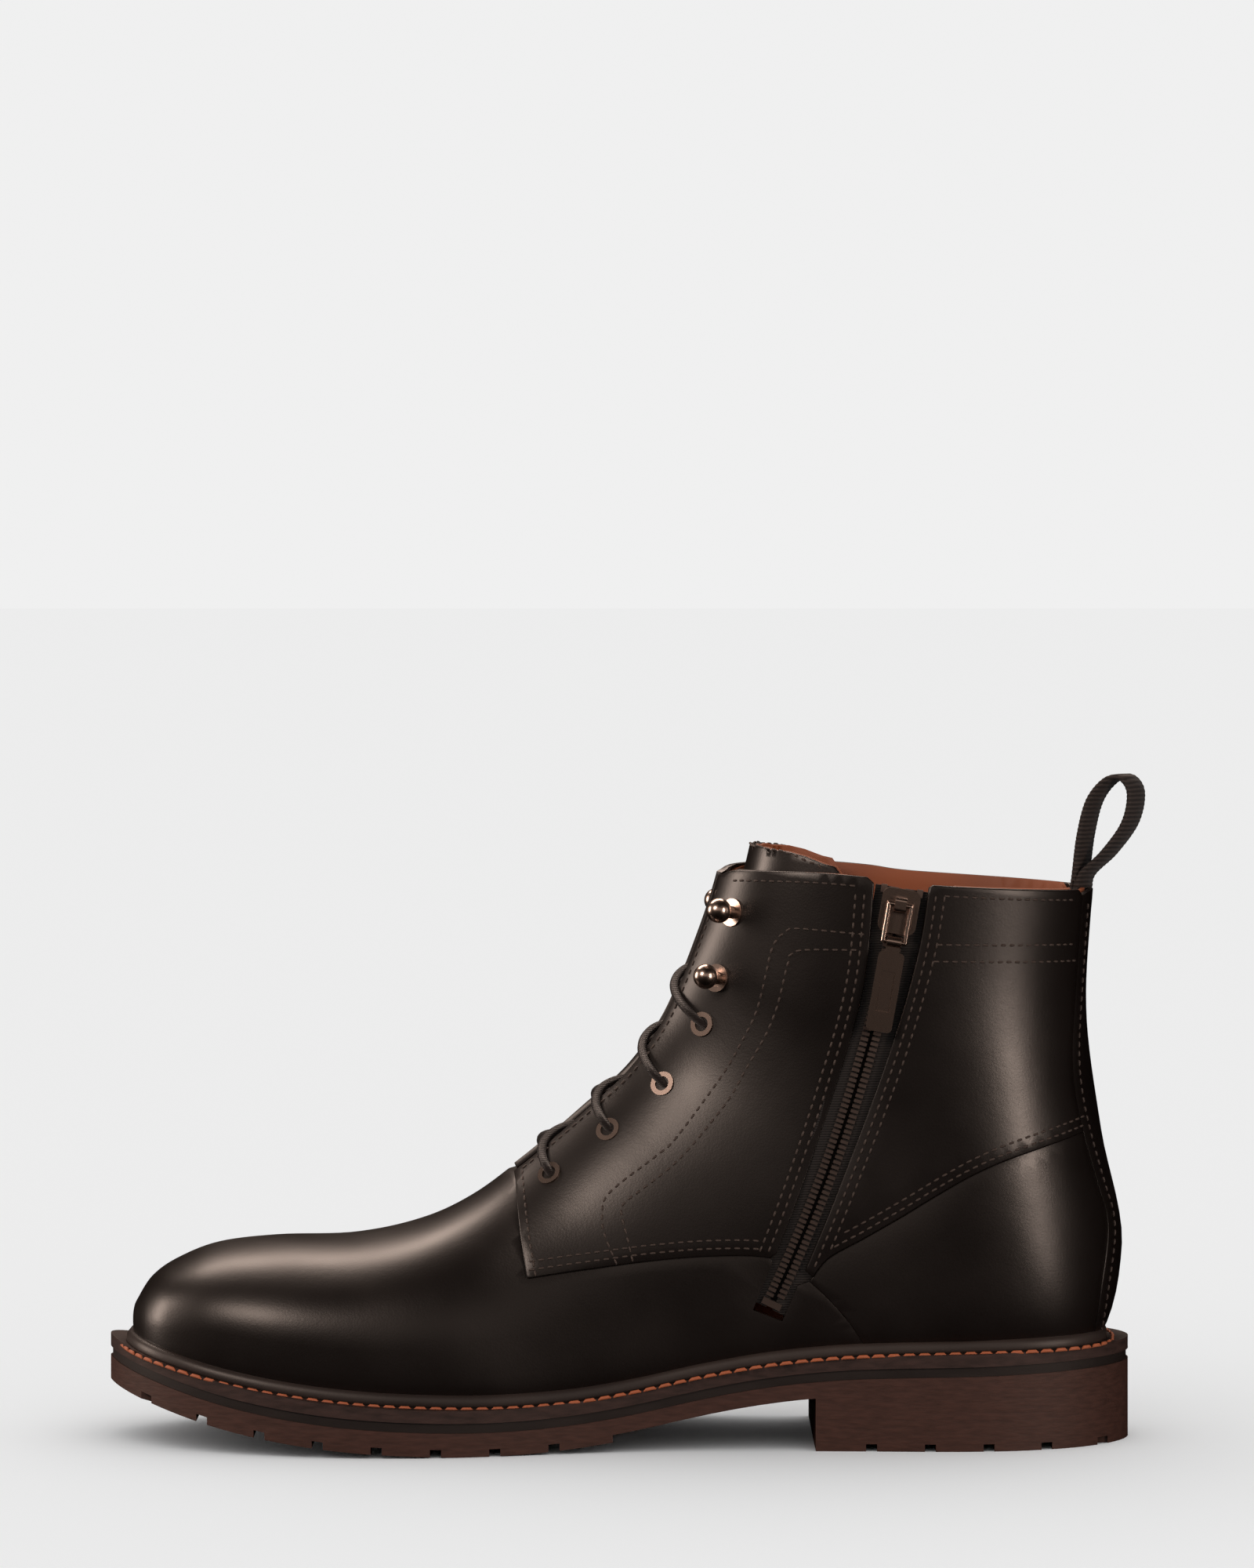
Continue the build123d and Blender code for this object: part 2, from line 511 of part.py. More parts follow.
def make_fittings():
    """Eyelets with their washers, and ball hooks with their rivet washers."""
    eyelet = ring_solid(TUBE_R, EYELET_HOLE_R, -WALL_DEEP - 0.3, 0.3)
    eyelet += ring_solid(EYELET_RING_R, EYELET_HOLE_R, -0.2, 0.7)
    washer = ring_solid(EYELET_RING_R, TUBE_R, -WALL_DEEP - 0.3, -WALL_DEEP + 0.2)
    hook = ring_solid(HOOK_BASE_R, 0, -0.2, 0.9) + ring_solid(1.9, 0, 0.9, 3.0)
    hook += Pos(0, 0, 2.4 + HOOK_BALL_R) * Sphere(HOOK_BALL_R)
    hook += ring_solid(1.5, 0, -WALL_DEEP - 0.3, 0)
    rivet = ring_solid(3.2, 1.5, -WALL_DEEP - 0.3, -WALL_DEEP + 0.2)
    for side, word in ((-1, "inner"), (1, "outer")):
        eyes = fitting_places(EYELET_SPOTS, side)
        hooks = fitting_places(HOOK_SPOTS, side)
        keep(f"eyelets_{word}", Compound(children=[plane * eyelet for plane in eyes]))
        keep(f"eyelet_washers_{word}", Compound(children=[plane * washer for plane in eyes]))
        keep(f"lace_hooks_{word}", Compound(children=[plane * hook for plane in hooks]))
        keep(f"hook_washers_{word}", Compound(children=[plane * rivet for plane in hooks]))


# ---- tongue and pull loop ----

TONGUE_OUTLINE = [(-22, 60), (-26, 80), (12, 140), (24, 172), (32, 177.5), (47, 178.8), (58, 175), (64, 168),
                  (46, 130), (30, 104), (10, 82), (-8, 66)]
TONGUE_HALF = 26.0


def make_tongue():
    """Tongue leather and its lining, hanging under the facings."""
    strip = outline_prism(TONGUE_OUTLINE, -TONGUE_HALF, TONGUE_HALF)
    mid = TONGUE_DROP + TONGUE_THICK
    keep("tongue", solid_of((form(TONGUE_DROP) - form(mid)) & strip))
    keep("tongue_lining", solid_of((form(mid) - form(mid + 1.0)) & strip))


LOOP_BASE = (141.0, 170.0)
WEBBING_THICK = 1.5
WEBBING_SLANT = Vector(-4, -8.5, 0)     # the webbing lies at a slant across the back seam
LOOP_RISE = [(-0.9, 0), (0.6, 12), (3.4, 22.5), (8.4, 28.6), (13.0, 29.2), (15.8, 24.5), (14.0, 15.5), (7.6, 6.5),
             (0.9, 0)]


def make_pull_loop():
    """Webbing loop standing on the collar, and its sewn tail inside the heel."""
    x, z = LOOP_BASE
    centre = Spline(*[(x + dx, 0, z + dz) for dx, dz in LOOP_RISE])
    sides = []
    for reach in (-WEBBING_THICK / 2, WEBBING_THICK / 2):
        points = []
        for n in range(17):
            along = centre % (n / 16)
            points.append(centre @ (n / 16) + Vector(along.Z, 0, -along.X) * reach)
        sides.append(Spline(*points))
    edges = [sides[0], Line(sides[0] @ 1, sides[1] @ 1), sides[1], Line(sides[1] @ 0, sides[0] @ 0)]
    face = make_face(Wire(edges).edges())
    start = Pos(-WEBBING_SLANT.X / 2, -WEBBING_SLANT.Y / 2, 0) * face
    keep("pull_loop", extrude(start, amount=WEBBING_SLANT.length, dir=WEBBING_SLANT.normalized()))
    tail_room = Pos(LOOP_BASE[0] - 6, 0, 159.2) * Box(14, 8.5, 18)
    lining_face = LEATHER + MIDDLE + LINING
    keep("pull_loop_tail", solid_of((form(lining_face) - form(lining_face + WEBBING_THICK)) & tail_room))


# ---- lace ----

LACE_INSIDE = WALL_DEEP + 0.3 + LACE_R + 0.1    # depth of the lace behind the facing
LACE_OUTSIDE = -(0.7 + LACE_R + 0.15)           # and in front of it
CROSS_OVER = 1.0
CROSS_UNDER = 4.3
AGLET_LONG = 22.0
INSOLE_PATH = [(86, 12, 60), (84, 13, 42), (72, 14, 33.6), (44, 12, 30.9), (18, 9, 27.3), (-8, 11, 22.0)]


def crossing(t, next_t, side, over):
    """Lace from one eyelet over the facing edge and under the far facing to the next eyelet."""
    def between_spots(share):
        return t + (next_t - t) * share
    middle = CROSS_OVER if over else CROSS_UNDER
    return [front_point(t, side * FITTING_Y, LACE_INSIDE),
            front_point(t, side * FITTING_Y, LACE_OUTSIDE),
            front_point(between_spots(0.14), side * 10.2, LACE_OUTSIDE + 0.4),
            front_point(between_spots(0.5), 0, middle),
            front_point(between_spots(0.84), -side * 11.2, LACE_INSIDE)]


def free_end(t, side, over):
    """Lace from the top eyelet round the tongue's edge and down onto the insole."""
    route = crossing(t, t + 1.3, side, over)
    for angle, deeper in ((44, 0.0), (60, 0.0), (76, 7.5)):
        station = station_at(t + 1.45)
        depth = LACE_INSIDE + deeper
        x, y, z = ring_point(station, angle, depth)
        route.append(Vector(x, y if side > 0 else -y, z))
    station = station_at(t + 1.2)
    x, y, z = ring_point(station, 84, 15)
    route.append(Vector(x, y if side > 0 else -y, z))
    route.append(Vector(84, -side * 13, 88))
    route += [Vector(x, -side * y, z) for x, y, z in INSOLE_PATH]
    return route


def lace_route():
    """Points of the whole lace, from one free end to the other."""
    places = [fan_place(x, z, FITTING_Y) for x, z in EYELET_SPOTS]
    halves = []
    for start_side in (-1, 1):
        side = start_side
        half = []
        for n in range(3):
            half += crossing(places[n], places[n + 1], side, over=(side < 0))
            side = -side
        half += free_end(places[3], side, over=(side < 0))
        halves.append(half)
    low = places[0] - 0.12
    bar = [front_point(low, -6.5, LACE_INSIDE - 0.9), front_point(low, 6.5, LACE_INSIDE - 0.9)]
    return halves[0][::-1] + bar + halves[1]


def bend_radii(points):
    """Bend radius at each inner point, from its shorter run and its turn."""
    radii = []
    for before, here, after in zip(points, points[1:], points[2:]):
        one, two = here - before, after - here
        turn = math.radians(one.get_angle(two))
        radii.append(0.45 * min(one.length, two.length) / math.tan(max(turn, 0.02) / 2))
    return radii


def make_lace():
    """One round waxed lace through all eyelets, with an aglet on each end."""
    points = lace_route()
    radii = bend_radii(points)
    print("lace bends:", " ".join(f"{r:.1f}" for r in radii))
    centre = FilletPolyline(*points, radius=radii)
    start = Plane(origin=centre @ 0, z_dir=centre % 0)
    lace = sweep(start * Circle(LACE_R), path=centre)
    expected = math.pi * LACE_R ** 2 * centre.length
    print(f"lace: {centre.length:.0f} mm long, volume {lace.volume:.0f} of {expected:.0f} mm3")
    keep("lace", lace)
    aglets = []
    for place, direction in ((0, 1), (1, -1)):
        axis = (centre % place) * direction
        tube = Solid.make_cylinder(LACE_R + 0.3, AGLET_LONG, Plane(centre @ place, z_dir=axis))
        aglets.append(solid_of(tube - lace))
    keep("aglets", Compound(children=aglets))


make_sole()
make_upper()
make_zip()
make_fittings()
make_tongue()
make_pull_loop()
make_lace()
for node_name, node in made.items():
    export_step(ROW_SHIFT * node, f"parts/{node_name}.step")
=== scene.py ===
# %% [markdown]
# # A lace-up ankle boot with a side zip
# This notebook dresses the CAD model of a right ankle boot. The hard pieces keep their CAD shape and get a
# material. The leather, the lining, the lace and the webbing are modelled again here, smooth and stitched,
# over the same foot form that the CAD panels were cut from. Everything is in metres, with the toe at -X.

# %% Load the frame
import json
import math

import bmesh
import bpy
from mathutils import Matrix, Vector
from mathutils.geometry import delaunay_2d_cdt

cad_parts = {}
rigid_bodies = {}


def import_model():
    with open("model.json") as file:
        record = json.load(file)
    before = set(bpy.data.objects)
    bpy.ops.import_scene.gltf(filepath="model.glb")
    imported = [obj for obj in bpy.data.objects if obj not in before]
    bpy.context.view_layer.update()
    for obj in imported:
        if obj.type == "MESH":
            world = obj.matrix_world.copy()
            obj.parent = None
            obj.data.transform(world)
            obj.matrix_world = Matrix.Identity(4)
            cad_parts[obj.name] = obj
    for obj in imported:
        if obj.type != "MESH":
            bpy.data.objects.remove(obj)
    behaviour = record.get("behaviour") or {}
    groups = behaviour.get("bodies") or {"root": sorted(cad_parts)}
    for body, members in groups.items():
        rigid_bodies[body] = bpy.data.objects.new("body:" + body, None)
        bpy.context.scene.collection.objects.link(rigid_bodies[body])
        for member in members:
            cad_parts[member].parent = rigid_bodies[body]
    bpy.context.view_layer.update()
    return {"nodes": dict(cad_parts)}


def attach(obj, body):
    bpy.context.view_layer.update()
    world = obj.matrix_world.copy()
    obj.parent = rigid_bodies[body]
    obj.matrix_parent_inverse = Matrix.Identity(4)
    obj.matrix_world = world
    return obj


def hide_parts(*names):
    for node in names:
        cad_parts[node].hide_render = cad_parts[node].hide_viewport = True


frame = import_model()
MM = 0.001
SHIFT = Vector((-0.00253, -0.00155, 0.0))     # from the drawing's middle plane to the row's origin
print("CAD pieces:", len(frame["nodes"]))

# %% [markdown]
# ## Camera
# A long lens stands about 2 m away and 0.29 m over the floor. It looks level at the inner side of the boot,
# and its shift brings the boot into the frame.

# %% Camera
CAMERA_AWAY = 1.970         # from the boot's middle plane, m
CAMERA_HIGH = 0.2858        # over the floor, m
SENSOR = 36                 # height of the sensor, mm
LENS = 148.986              # focal length, mm
LENS_SHIFT = (0.00475, -0.186)
camera_data = bpy.data.cameras.new("camera")
camera = bpy.data.objects.new("camera", camera_data)
bpy.context.scene.collection.objects.link(camera)
bpy.context.scene.camera = camera
camera.location = Vector((0.0, -CAMERA_AWAY, CAMERA_HIGH)) + SHIFT
camera.rotation_euler = (math.radians(90), 0, 0)
camera_data.sensor_fit = "VERTICAL"
camera_data.sensor_height = SENSOR
camera_data.lens = LENS
camera_data.shift_x = LENS_SHIFT[0]
camera_data.shift_y = LENS_SHIFT[1]
camera_data.dof.use_dof = False

# %% [markdown]
# ## The foot form
# A shoemaker builds every boot over a last. Here the last is a fan of sections from the toe to the collar.
# Each section has a top or front point, a bottom or back point, two half widths and two roundness powers.

# %% The foot form
STATIONS = [
    ((-147.9, 36.5), (-147.9, 34.5), 0.01, 0.01, 0.45, 2.2, 2.4),
    ((-147.5, 39.0), (-147.5, 31.5), 5.5, 6.0, 0.45, 2.2, 2.4),
    ((-146.4, 41.5), (-146.4, 27.5), 11.0, 12.0, 0.45, 2.2, 2.6),
    ((-142.0, 48.2), (-142.5, 24.0), 20.0, 21.5, 0.42, 2.2, 3.5),
    ((-134.5, 53.4), (-135.0, 21.5), 28.0, 29.5, 0.40, 2.2, 4.5),
    ((-122.0, 58.2), (-121.5, 17.8), 35.5, 37.0, 0.39, 2.2, 5.0),
    ((-104.0, 60.3), (-101.0, 13.8), 41.5, 43.0, 0.38, 2.2, 5.0),
    ((-81.0, 61.0), (-75.0, 10.9), 44.5, 47.0, 0.37, 2.2, 5.0),
    ((-61.0, 65.2), (-47.0, 9.6), 44.0, 48.0, 0.36, 2.2, 5.0),
    ((-45.0, 72.6), (-15.0, 10.8), 40.0, 45.0, 0.35, 2.2, 5.0),
    ((-29.0, 84.6), (22.0, 17.2), 36.5, 41.0, 0.36, 2.2, 5.0),
    ((-12.0, 99.8), (62.0, 23.2), 36.0, 38.0, 0.37, 2.2, 5.0),
    ((1.0, 112.5), (104.0, 24.6), 36.2, 36.5, 0.38, 2.2, 4.5),
    ((10.5, 126.5), (141.0, 26.5), 36.5, 36.5, 0.39, 2.2, 3.2),
    ((17.0, 140.0), (152.3, 57.0), 36.5, 36.5, 0.42, 2.2, 2.2),
    ((22.0, 151.5), (146.0, 93.0), 36.5, 36.5, 0.47, 2.2, 2.2),
    ((26.0, 162.0), (141.6, 127.0), 36.5, 36.5, 0.50, 2.2, 2.2),
    ((29.5, 173.0), (142.8, 157.0), 36.5, 36.5, 0.50, 2.3, 2.2),
    ((33.5, 190.0), (146.0, 185.0), 36.5, 36.5, 0.50, 2.3, 2.2),
]
FLAT = [(*s[0], *s[1], *s[2:]) for s in STATIONS]
LAST = len(FLAT) - 1


def station_at(t):
    """Values of a section at a fractional place along the fan, through a smooth curve."""
    t = min(max(t, 0.0), LAST - 0.0001)
    n = int(t)
    f = t - n
    p1, p2 = FLAT[n], FLAT[n + 1]
    p0 = FLAT[n - 1] if n > 0 else tuple(2 * a - b for a, b in zip(p1, p2))
    p3 = FLAT[n + 2] if n + 2 <= LAST else tuple(2 * a - b for a, b in zip(p2, p1))
    if n == 0:
        p0 = p2[:4] + (-p2[4], -p2[5]) + p2[6:]
    return [b + 0.5 * f * (c - a + f * (2 * a - 5 * b + 4 * c - d + f * (3 * (b - c) + d - a)))
            for a, b, c, d in zip(p0, p1, p2, p3)]


def form_point(t, angle, depth=0.0):
    """A point of the form in mm; angle 0 is the top or front, + the inner side, 180 the bottom or back."""
    tx, tz, bx, bz, inner, outer, widest, top_power, low_power = station_at(t)
    length = math.hypot(tx - bx, tz - bz)
    c, s = math.cos(math.radians(angle)), math.sin(math.radians(angle))
    power = top_power if c >= 0 else low_power
    room = length * (1 - widest) if c >= 0 else length * widest
    reach = max(room - depth, room * 0.3)
    side = inner if s >= 0 else outer
    side = max(side - depth, side * 0.3)
    share = (length * widest + math.copysign(reach * abs(c) ** (2 / power), c)) / length
    push = depth * min(max((4.0 - t) / 4.0, 0.0), 1.0)
    return Vector((bx + (tx - bx) * share + push, -math.copysign(side * abs(s) ** (2 / power), s),
                   bz + (tz - bz) * share))


def form_normal(t, angle, depth=0.0):
    """Outward direction of the form at a place."""
    du = form_point(t + 0.03, angle, depth) - form_point(t - 0.03, angle, depth)
    dv = form_point(t, angle + 1.5, depth) - form_point(t, angle - 1.5, depth)
    return du.cross(dv).normalized() * -1.0


def side_place(x, z, side):
    """Fan place and signed angle of the surface point seen at (x, z) from one side."""
    low, high = 0.05, LAST - 0.01

    def off(t):
        tx, tz, bx, bz = station_at(t)[:4]
        return (tx - bx) * (z - bz) - (tz - bz) * (x - bx)
    for _ in range(40):
        middle = (low + high) / 2
        if off(middle) < 0:
            low = middle
        else:
            high = middle
    t = (low + high) / 2
    tx, tz, bx, bz, _, _, widest, top_power, low_power = station_at(t)
    length = math.hypot(tx - bx, tz - bz)
    along = ((x - bx) * (tx - bx) + (z - bz) * (tz - bz)) / length - length * widest
    power = top_power if along >= 0 else low_power
    room = length * (1 - widest) if along >= 0 else length * widest
    c = min(abs(along) / room, 1.0) ** (power / 2)
    angle = math.degrees(math.acos(c if along >= 0 else -c))
    return t, angle * (1 if side < 0 else -1)


print("form check:", form_point(6, 90), side_place(60, 100, -1))

# %% [markdown]
# ## Seam lines
# The cutting lines are drawn once, as they look from the side, and are used on both sides of the boot.
# A smooth curve through a few points gives each line; every stitch row is the same line moved sideways.

# %% Seam lines
SOLE_LINE = [(-175, 29), (-154.3, 23.8), (-138, 19.2), (-120, 14.6), (-100, 11.0), (-80, 8.7), (-60, 7.5),
             (-38, 7.1), (-16, 8.3), (4, 11.2), (26, 15.8), (48, 19.4), (72, 21.4), (105, 22.2), (154.3, 23.6),
             (175, 24)]
TOPLINE = [(22, 156), (24.5, 162), (27.5, 167.2), (31.5, 170.8), (37, 172.2), (58, 172.3), (76, 170.9),
           (91, 168.9), (129, 166.7), (150, 165.8)]
FACING_FOOT = [(-31.5, 80.3), (-30.6, 72), (-29.4, 63), (-28.2, 56), (-27.4, 51.5)]
QUARTER_FOOT = [(-27.4, 51.5), (-16, 53.2), (-7.2, 54.4), (9.2, 56.6), (25.6, 58), (42, 58),
                (50, 55.5), (56.6, 50.5)]
VAMP_END = [(56.6, 50.5), (62, 45.5), (67.3, 39.6), (72.1, 32.6), (74.5, 26)]
COUNTER_SEAM = [(56.6, 50.5), (62, 57.3), (72.8, 63.4), (83.6, 69.6), (95.8, 77), (106, 82.6), (118, 87.4),
                (139.4, 93.7)]
STRAP_SEAM = [(141.9, 26), (144.9, 46.9), (146.3, 55.4), (147.1, 63.2), (146.4, 70), (144, 77.5), (139.4, 93.7),
              (136.8, 106.3), (136.1, 118.9), (137.6, 140.1), (139.5, 168)]
SLOT_FRONT = [(76.2, 172), (72.9, 139), (64.7, 108.6), (53.4, 75.6), (39.8, 42.0)]
SLOT_REAR = [(92.8, 172), (88.6, 147), (78.9, 114), (64.3, 75.4), (48.6, 38.6)]
THROAT_T = side_place(*FACING_FOOT[0], -1)[0]
FACING_GAP = 10.0
WELT_TOP = 6.7


def smooth(points, step=1.5):
    """Evenly spaced points on a smooth curve through a few side-view points."""
    ghost = [tuple(2 * a - b for a, b in zip(points[0], points[1]))]
    ghost += list(points)
    ghost += [tuple(2 * a - b for a, b in zip(points[-1], points[-2]))]
    fine = []
    for p0, p1, p2, p3 in zip(ghost, ghost[1:], ghost[2:], ghost[3:]):
        for k in range(24):
            f = k / 24
            fine.append(tuple(b + 0.5 * f * (c - a + f * (2 * a - 5 * b + 4 * c - d + f * (3 * (b - c) + d - a)))
                              for a, b, c, d in zip(p0, p1, p2, p3)))
    fine.append(tuple(points[-1]))
    out, walked = [fine[0]], 0.0
    for a, b in zip(fine, fine[1:]):
        walked += math.dist(a, b)
        if walked >= step:
            out.append(b)
            walked = 0.0
    if math.dist(out[-1], fine[-1]) > step * 0.4:
        out.append(fine[-1])
    else:
        out[-1] = fine[-1]
    return out


SOLE_FINE = smooth(SOLE_LINE, 1.0)


def sole_height(x):
    """Height of the underside of the midsole at x."""
    for (ax, az), (bx, bz) in zip(SOLE_FINE, SOLE_FINE[1:]):
        if ax <= x <= bx:
            return az + (bz - az) * (x - ax) / (bx - ax)
    return SOLE_FINE[-1][1]


def foot_angle(t, lift):
    """Angle at which the inner side of a section comes down to a height over the sole line."""
    low, high = 60.0, 180.0
    p = form_point(t, high)
    if p.z - sole_height(p.x) > lift:
        return None
    for _ in range(28):
        middle = (low + high) / 2
        p = form_point(t, middle)
        if p.z - sole_height(p.x) > lift:
            low = middle
        else:
            high = middle
    return low


def foot_line(lift, first=0.0, last=LAST, step=0.08):
    """Places (t, angle) along the bottom of the upper, on the inner side, from toe to heel."""
    ends = []
    for inside, outside in ((3.0, 0.0), (10.0, 15.5)):
        for _ in range(28):
            middle = (inside + outside) / 2
            if foot_angle(middle, lift) is None:
                outside = middle
            else:
                inside = middle
        ends.append(inside)
    places = [(ends[0], 180.0)] if first < ends[0] else []
    t = max(first, ends[0] + 0.02)
    stop = min(last, ends[1] - 0.02)
    while t < stop:
        places.append((t, foot_angle(t, lift)))
        t += step if 1.5 < t < ends[1] - 0.6 else step * 0.4
    places.append((stop, foot_angle(stop, lift)))
    if last > ends[1]:
        places.append((ends[1], 180.0))
    return places


def on_side(line, side):
    """Fan places of a side-view line."""
    return [side_place(x, z, side) for x, z in line]


def deep_angle(t, y, depth):
    """Angle where a layer, `depth` under the surface, is `y` from the middle plane near its front."""
    values = station_at(t)
    half = (values[4] if y < 0 else values[5]) - depth
    angle = math.degrees(math.asin(min(abs(y) / half, 1.0) ** (values[7] / 2)))
    return angle if y < 0 else -angle


print("throat at fan place", round(THROAT_T, 2))

# %% [markdown]
# ## Cutting and lasting a panel
# A panel is cut flat and then pulled over the last. The code does the same: it fills the panel's outline with
# small triangles in the flat map of the form, lifts them onto the form, and gives the sheet its thickness.

# %% Panel builder
ACROSS = 0.55       # map width of one degree, mm
ALONG = 16.0        # map length of one fan step, mm
CLOSEST = 0.15      # rim points nearer than this are dropped, mm
EDGE_ROUND = 0.45   # widest rounding of a cut edge, mm
EDGE_SHARE = 0.35   # its largest share of the thickness
EDGE_ANGLE = 50     # only edges sharper than this are rounded, degrees
FORM_MIDDLE = Vector((40 * MM, 0, 60 * MM))     # a point inside the boot


def mesh_object(name, verts, faces):
    """A smooth-shaded mesh object from mm vertices and faces."""
    mesh = bpy.data.meshes.new(name)
    mesh.from_pydata([Vector(v) * MM + SHIFT for v in verts], [], faces)
    mesh.validate()
    mesh.update()
    mesh.polygons.foreach_set("use_smooth", [True] * len(mesh.polygons))
    obj = bpy.data.objects.new(name, mesh)
    bpy.context.scene.collection.objects.link(obj)
    return obj


def panel(name, outline, depth, thick, spacing=2.2):
    """A leather sheet over the form: outline in fan places, outer face `depth` under the form's surface."""
    flat = [Vector((t * ALONG, a * ACROSS)) for t, a in outline]
    clean = [flat[0]]
    for p in flat[1:]:
        if (p - clean[-1]).length > CLOSEST:
            clean.append(p)
    if (clean[0] - clean[-1]).length < CLOSEST:
        clean.pop()
    rim = len(clean)
    edges = [(n, (n + 1) % rim) for n in range(rim)]
    points = list(clean)
    us = [p.x for p in clean]
    space = spacing * 1.0
    u = min(us) + space / 2
    while u < max(us):
        cross = []
        for a, b in zip(clean, clean[1:] + clean[:1]):
            if (a.x <= u) != (b.x <= u):
                cross.append(a.y + (b.y - a.y) * (u - a.x) / (b.x - a.x))
        cross.sort()
        for low, high in zip(cross[::2], cross[1::2]):
            count = int((high - low) / space)
            for k in range(1, count):
                points.append(Vector((u, low + (high - low) * k / count)))
        u += space
    verts, _, faces, _, _, _ = delaunay_2d_cdt(points, edges, [], 1, 0.01)
    outer = []
    for p in verts:
        outer.append(form_point(p.x / ALONG, p.y / ACROSS, depth))
    obj = mesh_object(name, outer, [tuple(f) for f in faces])
    bm = bmesh.new()
    bm.from_mesh(obj.data)
    bmesh.ops.remove_doubles(bm, verts=bm.verts, dist=0.02 * MM)
    bmesh.ops.recalc_face_normals(bm, faces=bm.faces)
    probe = max(bm.faces, key=lambda f: f.calc_area())
    if probe.normal.dot(probe.calc_center_median() - FORM_MIDDLE) < 0:
        bmesh.ops.reverse_faces(bm, faces=bm.faces)
    bm.to_mesh(obj.data)
    bm.free()
    solid = obj.modifiers.new("thickness", "SOLIDIFY")
    solid.thickness = thick * MM
    solid.offset = -1
    bevel = obj.modifiers.new("edge", "BEVEL")
    bevel.width = min(EDGE_ROUND, thick * EDGE_SHARE) * MM
    bevel.segments = 2
    bevel.limit_method = "ANGLE"
    bevel.angle_limit = math.radians(EDGE_ANGLE)
    obj.data.polygons.foreach_set("use_smooth", [True] * len(obj.data.polygons))
    return obj


def reverse(line):
    """The same line from its other end."""
    return line[::-1]


def facing_edge(y, first, last, step=0.1):
    """Places along a facing's front edge at a distance from the middle plane."""
    count = int((last - first) / step) + 1
    places = [first + (last - first) * n / count for n in range(count + 1)]
    return [(t, deep_angle(t, y, 0.0)) for t in places]


SEAM_VAMP = smooth(FACING_FOOT)[:-1] + smooth(QUARTER_FOOT)
SEAM_END = smooth(VAMP_END)
SEAM_COUNTER = smooth(COUNTER_SEAM)
SEAM_STRAP = smooth(STRAP_SEAM)
TOP = smooth(TOPLINE)
print("seams drawn:", len(SEAM_VAMP) + len(SEAM_END) + len(SEAM_COUNTER) + len(SEAM_STRAP), "points")

# %% [markdown]
# ## Materials
# Calf leather is dark, smooth and a little glossy. A fine grain and slow waves in the roughness keep its
# highlights from looking like plastic. The welt, midsole and sole are three browns with a dry surface.

# %% Materials
def shader(name, color, roughness, metallic=0.0, coat=0.0, sheen=0.0, specular=0.5):
    """A node material with one main shader."""
    material = bpy.data.materials.new(name)
    material.use_nodes = True
    main = material.node_tree.nodes["Principled BSDF"]
    main.inputs["Base Color"].default_value = (*color, 1)
    main.inputs["Roughness"].default_value = roughness
    main.inputs["Metallic"].default_value = metallic
    main.inputs["Coat Weight"].default_value = coat
    main.inputs["Coat Roughness"].default_value = 0.3
    main.inputs["Sheen Weight"].default_value = sheen
    main.inputs["Specular IOR Level"].default_value = specular
    return material, material.node_tree, main


def object_noise(tree, scale, detail=3.0, stretch=None):
    """Noise fixed to the object, optionally stretched along an axis."""
    place = tree.nodes.new("ShaderNodeTexCoord")
    noise = tree.nodes.new("ShaderNodeTexNoise")
    noise.inputs["Scale"].default_value = scale
    noise.inputs["Detail"].default_value = detail
    source = place.outputs["Object"]
    if stretch:
        mapping = tree.nodes.new("ShaderNodeMapping")
        mapping.inputs["Scale"].default_value = stretch
        tree.links.new(source, mapping.inputs["Vector"])
        source = mapping.outputs["Vector"]
    tree.links.new(source, noise.inputs["Vector"])
    return noise


def add_bump(tree, main, height, strength, distance):
    """Bump from a height output, stacked over any bump already there."""
    bump = tree.nodes.new("ShaderNodeBump")
    bump.inputs["Strength"].default_value = strength
    bump.inputs["Distance"].default_value = distance
    tree.links.new(height, bump.inputs["Height"])
    if main.inputs["Normal"].links:
        tree.links.new(main.inputs["Normal"].links[0].from_socket, bump.inputs["Normal"])
    tree.links.new(bump.outputs["Normal"], main.inputs["Normal"])


def vary(tree, source, socket, low, high, from_low=0.3, from_high=0.7):
    """Drive a socket from a noise, between two values."""
    span = tree.nodes.new("ShaderNodeMapRange")
    span.inputs["From Min"].default_value = from_low
    span.inputs["From Max"].default_value = from_high
    span.inputs["To Min"].default_value = low
    span.inputs["To Max"].default_value = high
    tree.links.new(source, span.inputs["Value"])
    tree.links.new(span.outputs["Result"], socket)


def color_mix(tree, factor, low, high, socket):
    """Blend two colours by a factor into a colour socket."""
    ramp = tree.nodes.new("ShaderNodeValToRGB")
    ramp.color_ramp.elements[0].color = (*low, 1)
    ramp.color_ramp.elements[1].color = (*high, 1)
    ramp.color_ramp.elements[0].position = 0.3
    ramp.color_ramp.elements[1].position = 0.7
    tree.links.new(factor, ramp.inputs["Fac"])
    tree.links.new(ramp.outputs["Color"], socket)


# %% [markdown]
# Leather, rubber and cloth each get a recipe, so that every piece of one stuff is made the same way.

